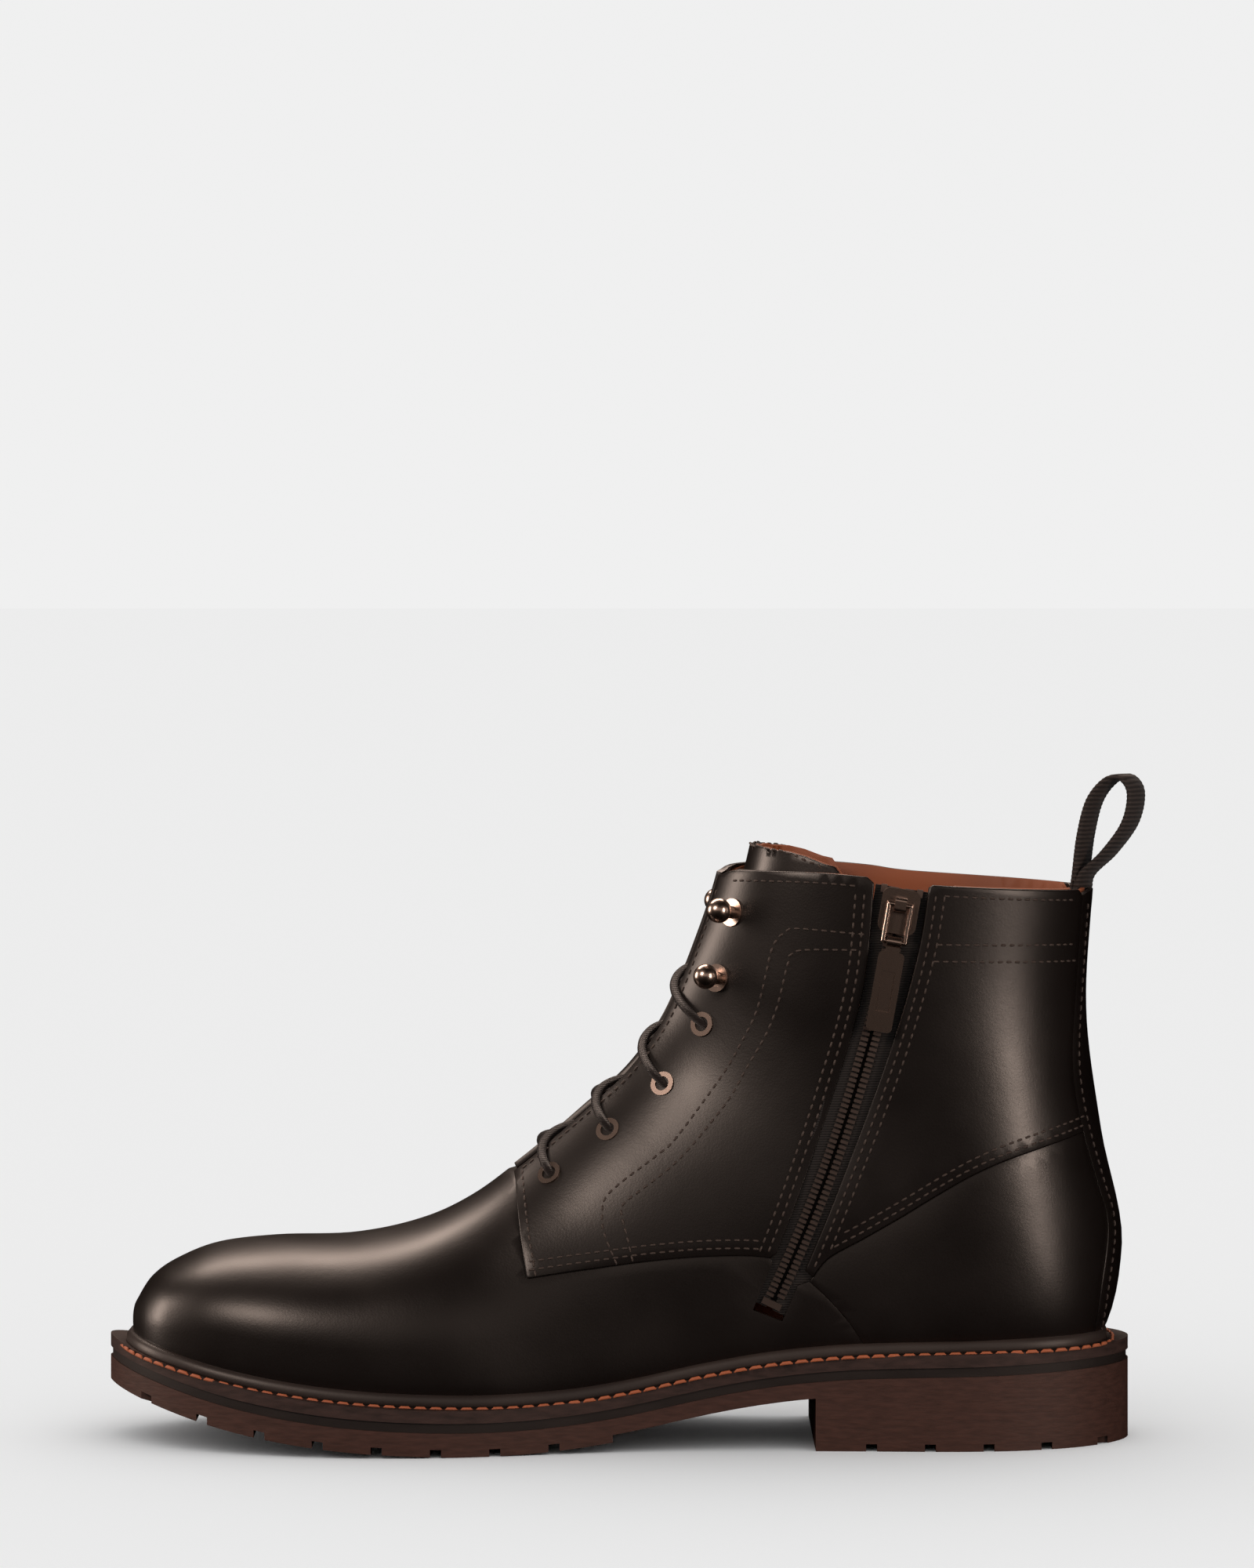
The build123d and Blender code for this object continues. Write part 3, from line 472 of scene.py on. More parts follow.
# %% Material recipes
def leather_material(name, color, warm, roughness, grain=0.12, coat=0.25):
    """Calf leather with pores, faint creases and an uneven polish."""
    material, tree, main = shader(name, color, roughness, coat=coat)
    clouds = object_noise(tree, 22.0)
    color_mix(tree, clouds.outputs["Fac"], color, warm, main.inputs["Base Color"])
    vary(tree, clouds.outputs["Fac"], main.inputs["Roughness"], roughness - 0.04, roughness + 0.06)
    pores = tree.nodes.new("ShaderNodeTexVoronoi")
    pores.inputs["Scale"].default_value = 1500.0
    place = tree.nodes.new("ShaderNodeTexCoord")
    tree.links.new(place.outputs["Object"], pores.inputs["Vector"])
    add_bump(tree, main, pores.outputs["Distance"], grain, 0.00010)
    waves = object_noise(tree, 260.0, 4.0)
    add_bump(tree, main, waves.outputs["Fac"], grain, 0.00025)
    return material


def grained_material(name, low, high, roughness, scale, stretch, bump=0.3):
    """Rubber or stacked fibre with streaks along its length."""
    material, tree, main = shader(name, low, roughness, specular=0.35)
    streaks = object_noise(tree, scale, 5.0, stretch)
    color_mix(tree, streaks.outputs["Fac"], low, high, main.inputs["Base Color"])
    add_bump(tree, main, streaks.outputs["Fac"], bump, 0.0003)
    return material


def woven_material(name, low, high, rib, direction="Z", roughness=0.7, sheen=0.04):
    """Ribbed webbing or braid: bands across the length of the piece."""
    material, tree, main = shader(name, low, roughness, sheen=sheen, specular=0.3)
    place = tree.nodes.new("ShaderNodeTexCoord")
    bands = tree.nodes.new("ShaderNodeTexWave")
    bands.bands_direction = direction
    bands.inputs["Scale"].default_value = rib
    bands.inputs["Distortion"].default_value = 0.6
    bands.inputs["Detail"].default_value = 1.0
    tree.links.new(place.outputs["Object"], bands.inputs["Vector"])
    color_mix(tree, bands.outputs["Fac"], low, high, main.inputs["Base Color"])
    add_bump(tree, main, bands.outputs["Fac"], 0.6, 0.0004)
    return material


# %% [markdown]
# The recipes are now given their colours. Colours are linear, so the dark leather has very small numbers.

# %% Colours and CAD looks
UPPER = leather_material("calf", (0.0032, 0.0018, 0.0014), (0.0052, 0.0029, 0.0022), 0.36, coat=0.12)
EDGE = leather_material("rand_leather", (0.012, 0.008, 0.007), (0.022, 0.014, 0.011), 0.45, coat=0.0)
LINING = leather_material("lining_hide", (0.155, 0.036, 0.008), (0.21, 0.052, 0.012), 0.6, coat=0.0)
WELT = grained_material("welt_edge", (0.015, 0.0062, 0.0045), (0.030, 0.0125, 0.0090), 0.62, 160.0,
                        (1, 1, 4), 0.4)
MIDSOLE = grained_material("midsole_edge", (0.007, 0.0040, 0.0033), (0.011, 0.0065, 0.0052), 0.6, 60.0,
                           (1, 1, 4))
SOLE = grained_material("sole_rubber", (0.027, 0.0082, 0.0042), (0.042, 0.0135, 0.0075), 0.6, 220.0,
                        (1, 1, 5), 0.3)
METAL, _, _ = shader("gunmetal", (0.62, 0.50, 0.44), 0.26, metallic=1.0)
TEETH, _, _ = shader("zip_metal", (0.34, 0.28, 0.26), 0.36, metallic=1.0)
THREAD, _, _ = shader("upper_thread", (0.030, 0.018, 0.013), 0.6)
WELT_THREAD, _, _ = shader("welt_thread", (0.24, 0.055, 0.014), 0.6)
TAPE = woven_material("zip_tape_cloth", (0.006, 0.0045, 0.004), (0.012, 0.009, 0.008), 420.0)
WEBBING = woven_material("loop_webbing", (0.010, 0.0065, 0.0055), (0.024, 0.016, 0.013), 240.0)
BOARD, _, _ = shader("fibre", (0.30, 0.22, 0.14), 0.8)
AGLET, _, _ = shader("aglet_plastic", (0.01, 0.01, 0.01), 0.2)


def coat(obj, material):
    """Give an object one material."""
    obj.data.materials.clear()
    obj.data.materials.append(material)


CAD_LOOKS = {
    "outsole": SOLE, "midsole": MIDSOLE, "welt": WELT, "zip_slider": METAL, "slider_bail": METAL,
    "pull_tab": METAL, "zip_bottom_stop": TEETH, "zip_top_stops": TEETH, "zip_teeth_front": TEETH,
    "zip_teeth_rear": TEETH, "zip_tape_front": TAPE, "zip_tape_rear": TAPE, "aglets": AGLET, "zip_guard": EDGE,
    "sock_lining": LINING, "pull_loop_tail": WEBBING, "facing_stay_inner": EDGE, "facing_stay_outer": EDGE,
    "heel_stiffener": EDGE, "toe_puff": EDGE,
}
for node_name, node in frame["nodes"].items():
    metal = node_name.startswith(("eyelet", "lace_hook", "hook_washers"))
    coat(node, METAL if metal else CAD_LOOKS.get(node_name, BOARD))
print("materials:", len(bpy.data.materials))

# %% [markdown]
# ## Leather panels
# The vamp is one piece that wraps the toe. The quarters lie on top of it, so they sit a little further out,
# and the edge step between them shows as a thin line of shadow.

# %% Panel outlines
FACING_TOP = 17.2       # fan place past the facing's top corner
QUARTER_BACK = 138.8    # the topline is cut here, at the back strap
STRAP_MEET = 93.7       # height where the counter's seam meets the back strap
STRAP_TOP = 166.0       # the back strap's side edges end here
SLOT_FOOT = 46.0        # where the zip slot's front edge meets the vamp's seam
FRONT_TOP = 171.5       # height of the slot's front edge
REAR_TOP = 169.5        # height of the slot's rear edge


def chain_to_top(side):
    """Facing edge from the throat up to the collar."""
    edge = facing_edge(side * FACING_GAP, THROAT_T, FACING_TOP, 0.08)
    inside = []
    for t, a in edge:
        p = form_point(t, a)
        top = next((z for x, z in TOP if x >= p.x), 172.0)
        if p.z > top:
            break
        inside.append((t, a))
    return inside


def part_of(line, test):
    """The points of a line that pass a test."""
    return [p for p in line if test(*p)]


def quarter_outline(side, part="whole", wider=0.0):
    """Outline of a quarter: the whole one outside, or its half in front of or behind the zip slot."""
    facing = chain_to_top(side)
    corner_x = form_point(*facing[-1]).x
    slot_front = [(x - wider, z) for x, z in smooth(SLOT_FRONT) if z < FRONT_TOP]
    slot_rear = [(x + wider, z) for x, z in smooth(SLOT_REAR) if z < REAR_TOP]
    foot = reverse(smooth(QUARTER_FOOT))
    strap = reverse(part_of(SEAM_STRAP, lambda x, z: STRAP_MEET < z < STRAP_TOP))
    counter = reverse(SEAM_COUNTER)
    if part == "front":
        top = part_of(TOP, lambda x, z: corner_x + 0.5 < x < 76.0 - wider)
        down = part_of(slot_front, lambda x, z: z > 57.5)
        foot = part_of(foot, lambda x, z: x < SLOT_FOOT - wider)
        rest = top + down + foot + reverse(smooth(FACING_FOOT))[1:-1]
        return facing + on_side(rest, side)
    if part == "rear":
        top = part_of(TOP, lambda x, z: 92.6 + wider < x < QUARTER_BACK)
        low = 52.5 + wider * 1.4
        counter = part_of(counter, lambda x, z: z > low - 1.5)
        up = reverse(part_of(slot_rear, lambda x, z: z > low))
        return on_side(top + strap + counter + up, side)
    top = part_of(TOP, lambda x, z: corner_x + 0.5 < x < QUARTER_BACK)
    rest = top + strap + counter + foot[1:] + reverse(smooth(FACING_FOOT))[1:-1]
    return facing + on_side(rest, side)


def vamp_chain(side, lower=0.0):
    """Rear edge of the vamp on one side, from the throat down to the welt."""
    if side > 0:
        return on_side(SEAM_VAMP + SEAM_END[1:], side)
    before = part_of(SEAM_VAMP, lambda x, z: x < SLOT_FOOT - lower)
    down = [(x - lower, z - lower) for x, z in smooth(SLOT_FRONT) if z < 57.0]
    up = reverse([(x, z - lower) for x, z in smooth(SLOT_REAR) if z < 50.0])
    return on_side(before + down + up + SEAM_END, side)


BOTTOM_LIFT = 5.8
TOE_LINE = foot_line(BOTTOM_LIFT, 0.0, side_place(*SEAM_END[-1], -1)[0])
WHOLE_FOOT_LINE = foot_line(BOTTOM_LIFT)


def vamp_outline(lower=0.0):
    """Outline of the vamp, round the toe and under it."""
    inner = vamp_chain(-1, lower)
    outer = vamp_chain(1)
    toe = reverse([p for p in TOE_LINE if p[0] < inner[-1][0]])
    return (inner + toe + [(0.0, 180.0), (0.0, 90.0), (0.0, 0.0), (0.0, -90.0), (0.0, -180.0)]
            + [(t, -a) for t, a in reverse(toe)] + reverse(outer))


def counter_outline(side):
    """Outline of a counter, between the vamp and the back strap."""
    low_strap = reverse(part_of(SEAM_STRAP, lambda x, z: z < STRAP_MEET))
    line = on_side(SEAM_COUNTER + low_strap, side)
    start = side_place(*SEAM_END[-1], side)[0]
    foot = [(t, a if side < 0 else -a) for t, a in WHOLE_FOOT_LINE if start < t < line[-1][0] - 0.02]
    return line + reverse(foot) + on_side(reverse(SEAM_END)[:-1], side)


def strap_outline():
    """Outline of the back strap, the same on both sides."""
    inner = on_side(part_of(SEAM_STRAP, lambda x, z: z < STRAP_TOP), -1)
    back = side_place(143.4, 165.7, -1)[0]
    foot = [p for p in WHOLE_FOOT_LINE if p[0] > inner[0][0] + 0.02]
    ring = inner + [(back, 172.0), (back, 180.0), (back, 188.0)]
    ring += [(t, 360.0 - a) for t, a in reverse(inner)]
    ring += [(t, 360.0 - a) for t, a in foot] + reverse(foot)[1:]
    return ring


# %% [markdown]
# Every panel is made twice: the dark leather outside and, deeper, the tan lining. Three linings have an outline
# of their own, cut back round the zip slot.

# %% Leather and lining
LEATHER_THICK = 1.7
LINING_THICK = 1.5
LINING_DEPTH = 2.4
LINING_SPACING = 3.5
VAMP_LINING_LOWER = 6.0     # the vamp's lining ends this much lower at the slot
PANELS = {
    "vamp": (vamp_outline(), 0.25),
    "quarter_inner_front": (quarter_outline(-1, "front"), -0.45),
    "quarter_inner_rear": (quarter_outline(-1, "rear"), -0.45),
    "quarter_outer": (quarter_outline(1), -0.45),
    "counter_inner": (counter_outline(-1), 0.15),
    "counter_outer": (counter_outline(1), 0.15),
    "back_strap": (strap_outline(), -0.15),
}
LINING_NODES = {"back_strap": "heel_grip"}
SLOT_CLEARANCE = 7.0        # the lining ends this far from the zip slot's edge
LINING_OUTLINES = {
    "quarter_inner_front": quarter_outline(-1, "front", SLOT_CLEARANCE),
    "quarter_inner_rear": quarter_outline(-1, "rear", SLOT_CLEARANCE),
    "vamp": vamp_outline(VAMP_LINING_LOWER),
}
for panel_name, (outline, depth) in PANELS.items():
    piece = panel(panel_name + "_leather", outline, depth, LEATHER_THICK)
    coat(piece, UPPER)
    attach(piece, "boot")
    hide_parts(panel_name)
    inside_outline = LINING_OUTLINES.get(panel_name, outline)
    inside = panel(panel_name + "_lining_hide", inside_outline, LINING_DEPTH, LINING_THICK, LINING_SPACING)
    coat(inside, LINING)
    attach(inside, "boot")
    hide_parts(LINING_NODES.get(panel_name, panel_name + "_lining"))
    print(panel_name, len(piece.data.polygons), "faces")

# %% [markdown]
# ## Tongue
# The tongue hangs behind the facings and stands a little above the collar. Its joint leans it
# back into the boot.

# %% Tongue
TONGUE_TOP = [(10, 166), (24, 172), (31, 178), (36, 179.2), (52, 177.5), (62, 174.5), (74, 170)]
TONGUE_REAR = [(50, -14), (82, 8), (104, 28), (130, 44), (158, 56), (168, 66), (175, 76)]
TONGUE_DEPTH = 8.4          # under the form's surface, mm
TONGUE_HALF = 26.0          # half its width, mm
TONGUE_LINING_STEP = 1.9    # from the leather's face to the lining's
TONGUE_LINING_THICK = 1.0


def tongue_top(x):
    """Height of the tongue's top edge at a side-view place."""
    line = smooth(TONGUE_TOP)
    return next((z for px, z in line if px >= x), line[-1][1])


def tongue_rear(z):
    """How far back the tongue's side edge reaches at a height."""
    for (z0, x0), (z1, x1) in zip(TONGUE_REAR, TONGUE_REAR[1:]):
        if z <= z1:
            return x0 + (x1 - x0) * (z - z0) / (z1 - z0)
    return TONGUE_REAR[-1][1]


def tongue_outline():
    """Outline of the tongue: two side edges and the top edge between them."""
    ring = []
    first, last = THROAT_T - 0.7, 18.9
    steps = 60
    for side in (-1, 1):
        edge = []
        for n in range(steps + 1):
            t = first + (last - first) * n / steps
            angle = deep_angle(t, side * TONGUE_HALF, TONGUE_DEPTH)
            angle -= side * 16 * min(max((t - 16.8) / 0.6, 0.0), 1.0)
            p = form_point(t, angle, TONGUE_DEPTH)
            while p.x > tongue_rear(p.z) and abs(angle) > 20:
                angle *= 0.98
                p = form_point(t, angle, TONGUE_DEPTH)
            if p.z > tongue_top(p.x):
                break
            edge.append((t, angle))
        ring.append(edge)
    top = []
    low_angle, high_angle = ring[1][-1][1], ring[0][-1][1]
    for n in range(1, 30):
        angle = high_angle + (low_angle - high_angle) * n / 30
        t = ring[0][-1][0] - 1.5
        p = form_point(t, angle, TONGUE_DEPTH)
        while t < last and p.z < tongue_top(p.x):
            t += 0.02
            p = form_point(t, angle, TONGUE_DEPTH)
        top.append((t, angle))
    return ring[0] + top + reverse(ring[1])


TONGUE = tongue_outline()
tongue = panel("tongue_leather", TONGUE, TONGUE_DEPTH, LEATHER_THICK)
tongue_back = panel("tongue_lining_hide", TONGUE, TONGUE_DEPTH + TONGUE_LINING_STEP, TONGUE_LINING_THICK)
for piece, material, node_name in ((tongue, UPPER, "tongue"), (tongue_back, LINING, "tongue_lining")):
    coat(piece, material)
    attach(piece, "tongue")
    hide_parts(node_name)
print("tongue top:", max(form_point(t, a, TONGUE_DEPTH).z for t, a in TONGUE))

# %% [markdown]
# ## Stitches
# Every seam is sewn with short, slightly sunken stitches. The welt has a thicker orange thread.

# %% Stitches
STITCH_RINGS = ((-0.5, 0.35, -0.30), (-0.3, 0.9, 0.0), (0.3, 0.9, 0.0), (0.5, 0.35, -0.30))
# each ring of a stitch: place along it, width and how far it is sunk, as shares of its length and radius


def along_line(points, pitch):
    """Evenly spaced points and directions on a 3-D line in mm."""
    found = []
    left = pitch / 2
    for a, b in zip(points, points[1:]):
        run = (b - a).length
        if run < 1e-6:
            continue
        while left < run:
            found.append((a + (b - a) * (left / run), (b - a) / run))
            left += pitch
        left -= run
    return found


def stitches(name, lines, material, pitch=2.8, long=1.9, radius=0.38, body="boot"):
    """A run of stitches; each line is a list of (point, outward direction) pairs in mm."""
    verts, faces = [], []
    for line in lines:
        points = [p for p, _ in line]
        normals = [n for _, n in line]
        for place, direction in along_line(points, pitch):
            nearest = min(range(len(points)), key=lambda k: (points[k] - place).length_squared)
            up = normals[nearest]
            side = direction.cross(up).normalized()
            base = len(verts)
            for share, wide, sink in STITCH_RINGS:
                centre = place + direction * long * share + up * sink * radius * 2
                for k in range(6):
                    turn = math.radians(60 * k)
                    verts.append(centre + (side * math.cos(turn) + up * math.sin(turn)) * radius * wide)
            for row in range(3):
                for k in range(6):
                    a, b = base + row * 6 + k, base + row * 6 + (k + 1) % 6
                    faces.append((a, b, b + 6, a + 6))
            faces.append(tuple(base + k for k in range(6)))
            faces.append(tuple(base + 18 + k for k in range(6)))
    obj = mesh_object(name, verts, faces)
    coat(obj, material)
    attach(obj, body)
    return obj


def sewn(places, depth):
    """Points and outward directions of a row laid on the form."""
    return [(form_point(t, a, depth), form_normal(t, a, depth)) for t, a in places]


# %% [markdown]
# The two decorative rows follow the facing and turn back at the collar. The other rows run beside the seams,
# the zip slot and the topline.

# %% Stitch rows
ROW_OUTER = [(-0.6, 55.1), (-4.6, 64.9), (-5, 70.7), (-4.1, 74.7), (0.8, 79.4), (11.4, 87.3), (17.2, 92.5),
             (30.8, 110.7), (36.4, 120.3), (41.1, 129.9), (43.9, 140.9), (45.5, 148), (47.2, 151.9), (50, 154.5),
             (53.7, 155.5), (72.2, 154.1)]
ROW_INNER = [(4.1, 56), (2.2, 64.2), (0.8, 69.6), (1.1, 72.9), (6, 76.8), (15.8, 84.3), (23.1, 91.8),
             (32.9, 104), (37.6, 112.2), (43.9, 123.2), (47.2, 131.4), (49.3, 139.8),
             (50.7, 145.2), (53.7, 148.9), (71, 149.4)]
QUARTER_SKIN = -0.5
inner_rows = [ROW_OUTER, ROW_INNER]
inner_rows.append([(x - 2.6, z) for x, z in part_of(smooth(SLOT_FRONT), lambda x, z: 59 < z < 169)])
inner_rows.append([(x - 5.2, z) for x, z in part_of(smooth(SLOT_FRONT), lambda x, z: 59 < z < 169)])
inner_rows.append([(x + 2.4, z) for x, z in part_of(smooth(SLOT_REAR), lambda x, z: 55 < z < 166)])
inner_rows.append([(x + 5.0, z) for x, z in part_of(smooth(SLOT_REAR), lambda x, z: 57 < z < 166)])
inner_rows += [[(94, 151), (115, 150.6), (137, 150)], [(93, 146), (115, 145.6), (137, 145)]]
counter_row = [(x, z + 2.2) for x, z in SEAM_COUNTER if x > 63]
counter_row_two = [(x, z + 4.8) for x, z in SEAM_COUNTER if x > 66]
foot_row = [(x, z + 2.2) for x, z in smooth(QUARTER_FOOT)]
foot_row_two = [(x, z + 4.6) for x, z in smooth(QUARTER_FOOT)]
collar_row = [(x, z - 3.0) for x, z in TOP if 34 < x < 137 and not 73 < x < 95]
lines = []
for row in inner_rows + [counter_row, counter_row_two]:
    lines.append(sewn(on_side(smooth(row), -1), QUARTER_SKIN))
for row in (foot_row, foot_row_two):
    lines.append(sewn(on_side([p for p in row if p[0] < 44], -1), QUARTER_SKIN))
    lines.append(sewn(on_side(row, 1), QUARTER_SKIN))
for row in (counter_row, counter_row_two, [(94, 151), (137, 150)], [(93, 146), (137, 145)]):
    lines.append(sewn(on_side(smooth(row), 1), QUARTER_SKIN))
for row in ([(x, z) for x, z in collar_row if x < 74], [(x, z) for x, z in collar_row if x > 94]):
    lines.append(sewn(on_side(row, -1), QUARTER_SKIN))
lines.append(sewn(on_side([(x, z - 3.0) for x, z in TOP if 34 < x < 137], 1), QUARTER_SKIN))
for side in (-1, 1):
    edge = facing_edge(side * (FACING_GAP + 2.4), THROAT_T + 0.1, FACING_TOP)
    top_limit = [(t, a) for t, a in edge if form_point(t, a).z < 167]
    lines.append(sewn(top_limit, QUARTER_SKIN))
    front = smooth(FACING_FOOT)
    lines.append(sewn(on_side([(x + 2.4, z + 1.0) for x, z in front], side), QUARTER_SKIN))
    strap = [(x + 2.2, z) for x, z in SEAM_STRAP if 16 < z < 163]
    lines.append(sewn(on_side(strap, side), -0.2))
stitches("upper_stitches", lines, THREAD)
tongue_rows = [[(t, a * 0.90) for t, a in TONGUE if form_point(t, a, TONGUE_DEPTH).z > 120]]
stitches("tongue_stitches", [sewn(row, TONGUE_DEPTH) for row in tongue_rows], THREAD, body="tongue")
print("stitch rows:", len(lines))

# %% [markdown]
# ## Rand and welt seam
# A narrow leather lip sits in the corner where the upper meets the welt, with the welt stitched outside it.

# %% Rand and welt seam
def round_foot(lift):
    """Closed line round the foot at a height above the sole, as (point, outward) pairs in mm."""
    half = foot_line(lift)
    places = half + [(t, 360.0 - a) for t, a in reverse(half)]
    points = [form_point(t, a) for t, a in places]
    clean = [points[0]]
    for p in points[1:]:
        if (p - clean[-1]).length > 0.8:
            clean.append(p)
    if (clean[0] - clean[-1]).length < 0.8:
        clean.pop()
    count = len(clean)
    middle = sum(clean, Vector()) / count
    outs = []
    for n in range(count):
        along = clean[(n + 1) % count] - clean[n - 1]
        out = Vector((along.y, -along.x, 0)).normalized()
        if out.dot(Vector((clean[n].x - middle.x, (clean[n].y - middle.y) * 3, 0))) < 0:
            out = -out
        outs.append(out)
    return list(zip(clean, outs))


RAND_SECTION = [(-0.8, -0.2), (2.0, -0.2), (2.3, 1.0), (2.1, 2.6), (1.2, 3.7), (0.1, 3.9), (-0.8, 3.6)]
foot_ring = round_foot(WELT_TOP + 1.2)
verts, faces = [], []
for point, out in foot_ring:
    for reach, high in RAND_SECTION:
        verts.append(Vector((point.x, point.y, sole_height(point.x) + WELT_TOP + high)) + out * reach)
size, rows = len(RAND_SECTION), len(foot_ring)
for n in range(rows):
    for k in range(size):
        a, b = n * size + k, n * size + (k + 1) % size
        c, d = ((n + 1) % rows) * size + (k + 1) % size, ((n + 1) % rows) * size + k
        faces.append((a, b, c, d))
rand = mesh_object("rand_lip", verts, faces)
coat(rand, EDGE)
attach(rand, "boot")
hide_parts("rand")
welt_line = []
for point, out in foot_ring + foot_ring[:1]:
    place = Vector((point.x, point.y, sole_height(point.x) + WELT_TOP + 0.15)) + out * 4.1
    welt_line.append((place, Vector((0, 0, 1))))
stitches("welt_stitches", [welt_line], WELT_THREAD, pitch=4.6, long=3.9, radius=0.62)
print("welt seam points:", len(welt_line))

# %% [markdown]
# ## Lace
# One round waxed lace runs through all the eyelets, crossing over and under, and its ends are tucked inside.

# %% Lace
FITTING_Y = 20.5        # the eyelets' distance from the middle plane, mm
LACE_RADIUS = 1.35
LACE_INSIDE = 5.75      # depth of the lace behind a facing
LACE_OUTSIDE = -2.2     # and in front of it
CROSS_OVER = 1.0        # depth at the middle where it crosses over
CROSS_UNDER = 4.3       # and where it crosses under
EYELET_SPOTS = [(-20, 79.9), (-1.8, 92.2), (14.3, 106.8), (25.9, 125.5)]
INSOLE_PATH = [(86, 12, 60), (84, 13, 42), (72, 14, 33.6), (44, 12, 30.9), (18, 9, 27.3), (-8, 11, 22.0)]


def front_point(t, y, depth):
    """Point near the front ridge, `y` from the middle plane and `depth` under the surface."""
    return form_point(t, deep_angle(t, y, depth), depth)


def lace_place(x, z):
    """Fan place of an eyelet seen at (x, z) from the side."""
    tries = [9 + n * 0.01 for n in range(850)]
    return min(tries, key=lambda t: (front_point(t, FITTING_Y, 0) - Vector((x, FITTING_Y, z))).length)


def crossing(t, next_t, side, over):
    """From one eyelet over the facing edge to the far facing's next eyelet."""
    middle = CROSS_OVER if over else CROSS_UNDER
    gap = next_t - t
    return [front_point(t, side * FITTING_Y, LACE_INSIDE),
            front_point(t, side * FITTING_Y, LACE_OUTSIDE - 0.5),
            front_point(t + gap * 0.14, side * 10.2, LACE_OUTSIDE),
            front_point(t + gap * 0.5, 0, middle),
            front_point(t + gap * 0.84, -side * 11.2, LACE_INSIDE)]


def free_end(t, side, over):
    """From the top eyelet round the tongue's edge and down onto the insole."""
    route = crossing(t, t + 1.3, side, over)
    for angle, deeper in ((44, 0.0), (60, 0.0), (76, 7.5)):
        route.append(form_point(t + 1.45, angle if side > 0 else -angle, LACE_INSIDE + deeper))
    route.append(form_point(t + 1.2, 84 if side > 0 else -84, 15))
    route.append(Vector((84, -side * 13, 88)))
    return route + [Vector((x, -side * y, z)) for x, y, z in INSOLE_PATH]


def lace_route():
    """Corner points of the whole lace, from one tucked end to the other."""
    places = [lace_place(x, z) for x, z in EYELET_SPOTS]
    halves = []
    for start_side in (-1, 1):
        side, half = start_side, []
        for n in range(3):
            half += crossing(places[n], places[n + 1], side, side < 0)
            side = -side
        halves.append(half + free_end(places[3], side, side < 0))
    low = places[0] - 0.12
    bar = [front_point(low, -6.5, LACE_INSIDE - 0.9), front_point(low, 6.5, LACE_INSIDE - 0.9)]
    return reverse(halves[0]) + bar + halves[1]


route = lace_route()
lace_length = sum((b - a).length for a, b in zip(route, route[1:])) * MM
lace_curve = bpy.data.curves.new("lace_cord", "CURVE")
lace_curve.dimensions = "3D"
lace_curve.bevel_depth = LACE_RADIUS * MM
lace_curve.bevel_resolution = 5
lace_curve.resolution_u = 8
lace_curve.use_fill_caps = True
spline = lace_curve.splines.new("NURBS")
spline.points.add(len(route) - 1)
for target, place in zip(spline.points, route):
    target.co = (*(place * MM + SHIFT), 1.0)
spline.order_u = 3
spline.use_endpoint_u = True
lace = bpy.data.objects.new("lace_cord", lace_curve)
bpy.context.scene.collection.objects.link(lace)
LACE_CLOTH = woven_material("waxed_lace", (0.007, 0.0045, 0.004), (0.012, 0.008, 0.007), 900.0, roughness=0.4)
lace_curve.materials.append(LACE_CLOTH)
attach(lace, "boot")
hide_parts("lace")
print("corner to corner length, m:", round(lace_length, 3))

# %% [markdown]
# ## Pull loop
# A ribbed webbing loop stands on the back of the collar and leans to the rear.

# %% Pull loop
LOOP_BASE = (141.0, 170.0)
LOOP_RISE = [(-1.6, -5), (-0.9, 0), (0.6, 12), (3.4, 22.5), (8.4, 28.6), (13.0, 29.2),
             (15.8, 24.5), (14.0, 15.5), (7.6, 6.5), (0.9, 0), (-0.4, -5)]
LOOP_SLANT = Vector((-5.2, -8.0, 0.0))
RIB_PITCH = 1.3


def loop_strip():
    """Webbing swept along the loop with a rounded rib every pitch."""
    line = [Vector((LOOP_BASE[0] + x, 0, LOOP_BASE[1] + z)) for x, z in smooth(LOOP_RISE, 0.25)]
    verts, faces = [], []
    run = 0.0
    for n, place in enumerate(line):
        before, after = line[max(n - 1, 0)], line[min(n + 1, len(line) - 1)]
        run += (place - before).length
        along = (after - before).normalized()
        out = Vector((along.z, 0, -along.x))
        rib = 0.68 + 0.16 * abs(math.sin(math.pi * run / RIB_PITCH))
        for wide, thick in ((-0.5, 0.3), (-0.46, 0.9), (0, 1.0), (0.46, 0.9), (0.5, 0.3)):
            verts.append(place + LOOP_SLANT * wide + out * rib * thick)
        for wide, thick in ((0.5, 0.3), (0.46, 0.9), (0, 1.0), (-0.46, 0.9), (-0.5, 0.3)):
            verts.append(place + LOOP_SLANT * wide - out * rib * thick)
    for n in range(len(line) - 1):
        for k in range(10):
            a, b = n * 10 + k, n * 10 + (k + 1) % 10
            faces.append((a, b, b + 10, a + 10))
    faces.append(tuple(range(10)))
    faces.append(tuple(len(verts) - 10 + k for k in range(10)))
    return mesh_object("loop_webbing", verts, faces)


loop = loop_strip()
coat(loop, WEBBING)
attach(loop, "loop")
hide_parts("pull_loop")
print("loop height:", round(max(v.co.z for v in loop.data.vertices), 4))

# %% [markdown]
# ## Studio
# Warm softboxes light only the boot. The floor and the grey background light each other evenly and stay out of
# the leather's reflections.

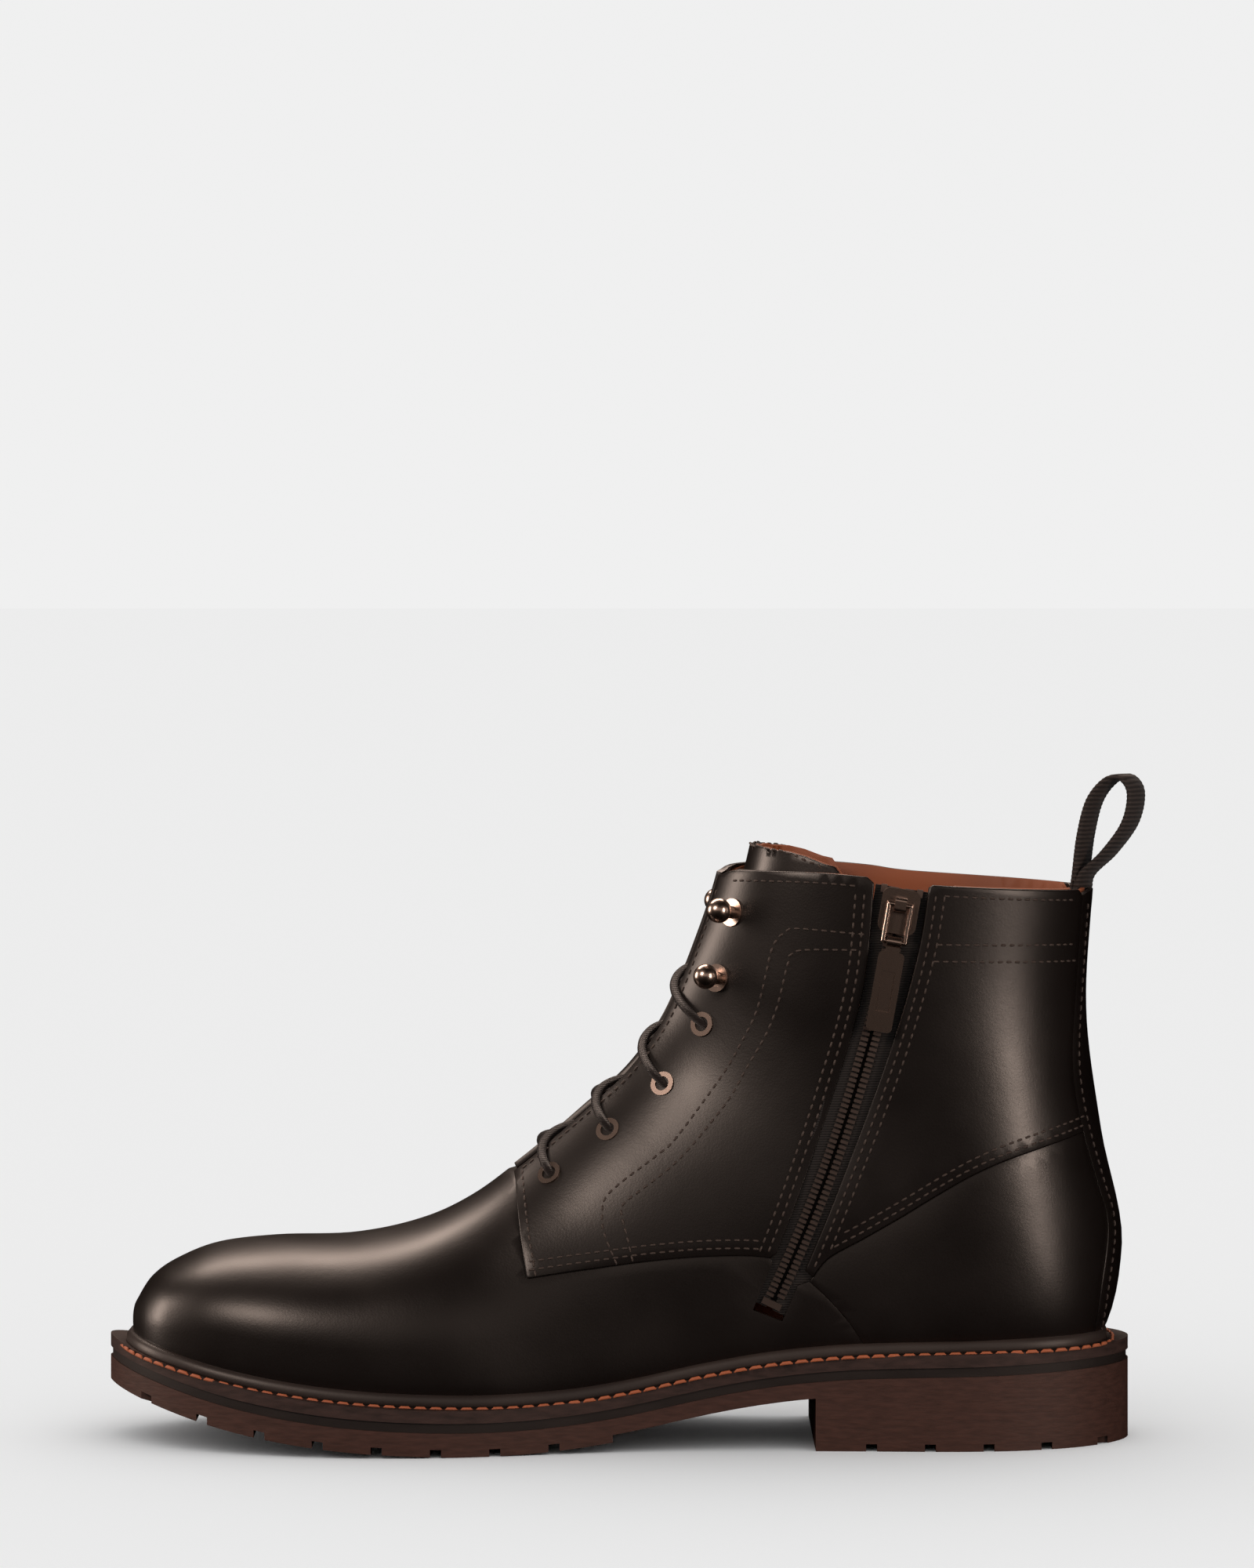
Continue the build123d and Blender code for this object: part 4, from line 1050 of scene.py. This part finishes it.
# %% Studio
def area_light(name, place, aim, wide, high, power, color=(1, 1, 1)):
    """A softbox at a place, turned to a point."""
    data = bpy.data.lights.new(name, "AREA")
    data.shape = "RECTANGLE"
    data.size = wide
    data.size_y = high
    data.energy = power
    data.color = color
    lamp = bpy.data.objects.new(name, data)
    bpy.context.scene.collection.objects.link(lamp)
    lamp.location = place
    lamp.rotation_euler = (Vector(aim) - Vector(place)).to_track_quat("-Z", "Y").to_euler()
    return lamp


WARM = (1.0, 0.79, 0.67)
BACKGROUND = (0.87, 0.87, 0.87, 1)
PAPER = (0.97, 0.97, 0.97)
lamps = [
    area_light("key_left", (-0.80, -1.05, 0.85), (-0.02, 0, 0.09), 0.42, 0.42, 9, WARM),
    area_light("top_back", (-0.2, 0.75, 1.15), (0, 0, 0.1), 1.3, 0.35, 14, WARM),
    area_light("left_rim", (-1.2, 0.15, 0.35), (-0.1, 0, 0.06), 0.3, 0.6, 7, WARM),
    area_light("right_strip", (1.0, -0.95, 0.35), (0.11, 0, 0.07), 0.22, 0.6, 7, WARM),
    area_light("front_fill", (0.1, -2.3, 0.9), (0, 0, 0.1), 1.6, 1.0, 1.6, WARM),
]
lit = bpy.data.collections.new("lit_pieces")
for obj in bpy.data.objects:
    if obj.type in {"MESH", "CURVE"}:
        lit.objects.link(obj)
for lamp in lamps:
    lamp.light_linking.receiver_collection = lit
world = bpy.data.worlds.new("world")
bpy.context.scene.world = world
world.use_nodes = True
world.node_tree.nodes["Background"].inputs["Color"].default_value = BACKGROUND
world.node_tree.nodes["Background"].inputs["Strength"].default_value = 1.0
world.cycles_visibility.glossy = False
bpy.context.scene.view_settings.view_transform = "Standard"
floor_mesh = bpy.data.meshes.new("floor")
floor_mesh.from_pydata([(-9, -4, 0), (9, -4, 0), (9, 14, 0), (-9, 14, 0)], [], [(0, 1, 2, 3)])
floor = bpy.data.objects.new("floor", floor_mesh)
bpy.context.scene.collection.objects.link(floor)
floor_material, _, _ = shader("floor_paper", PAPER, 1.0, specular=0.0)
coat(floor, floor_material)
floor.visible_glossy = False
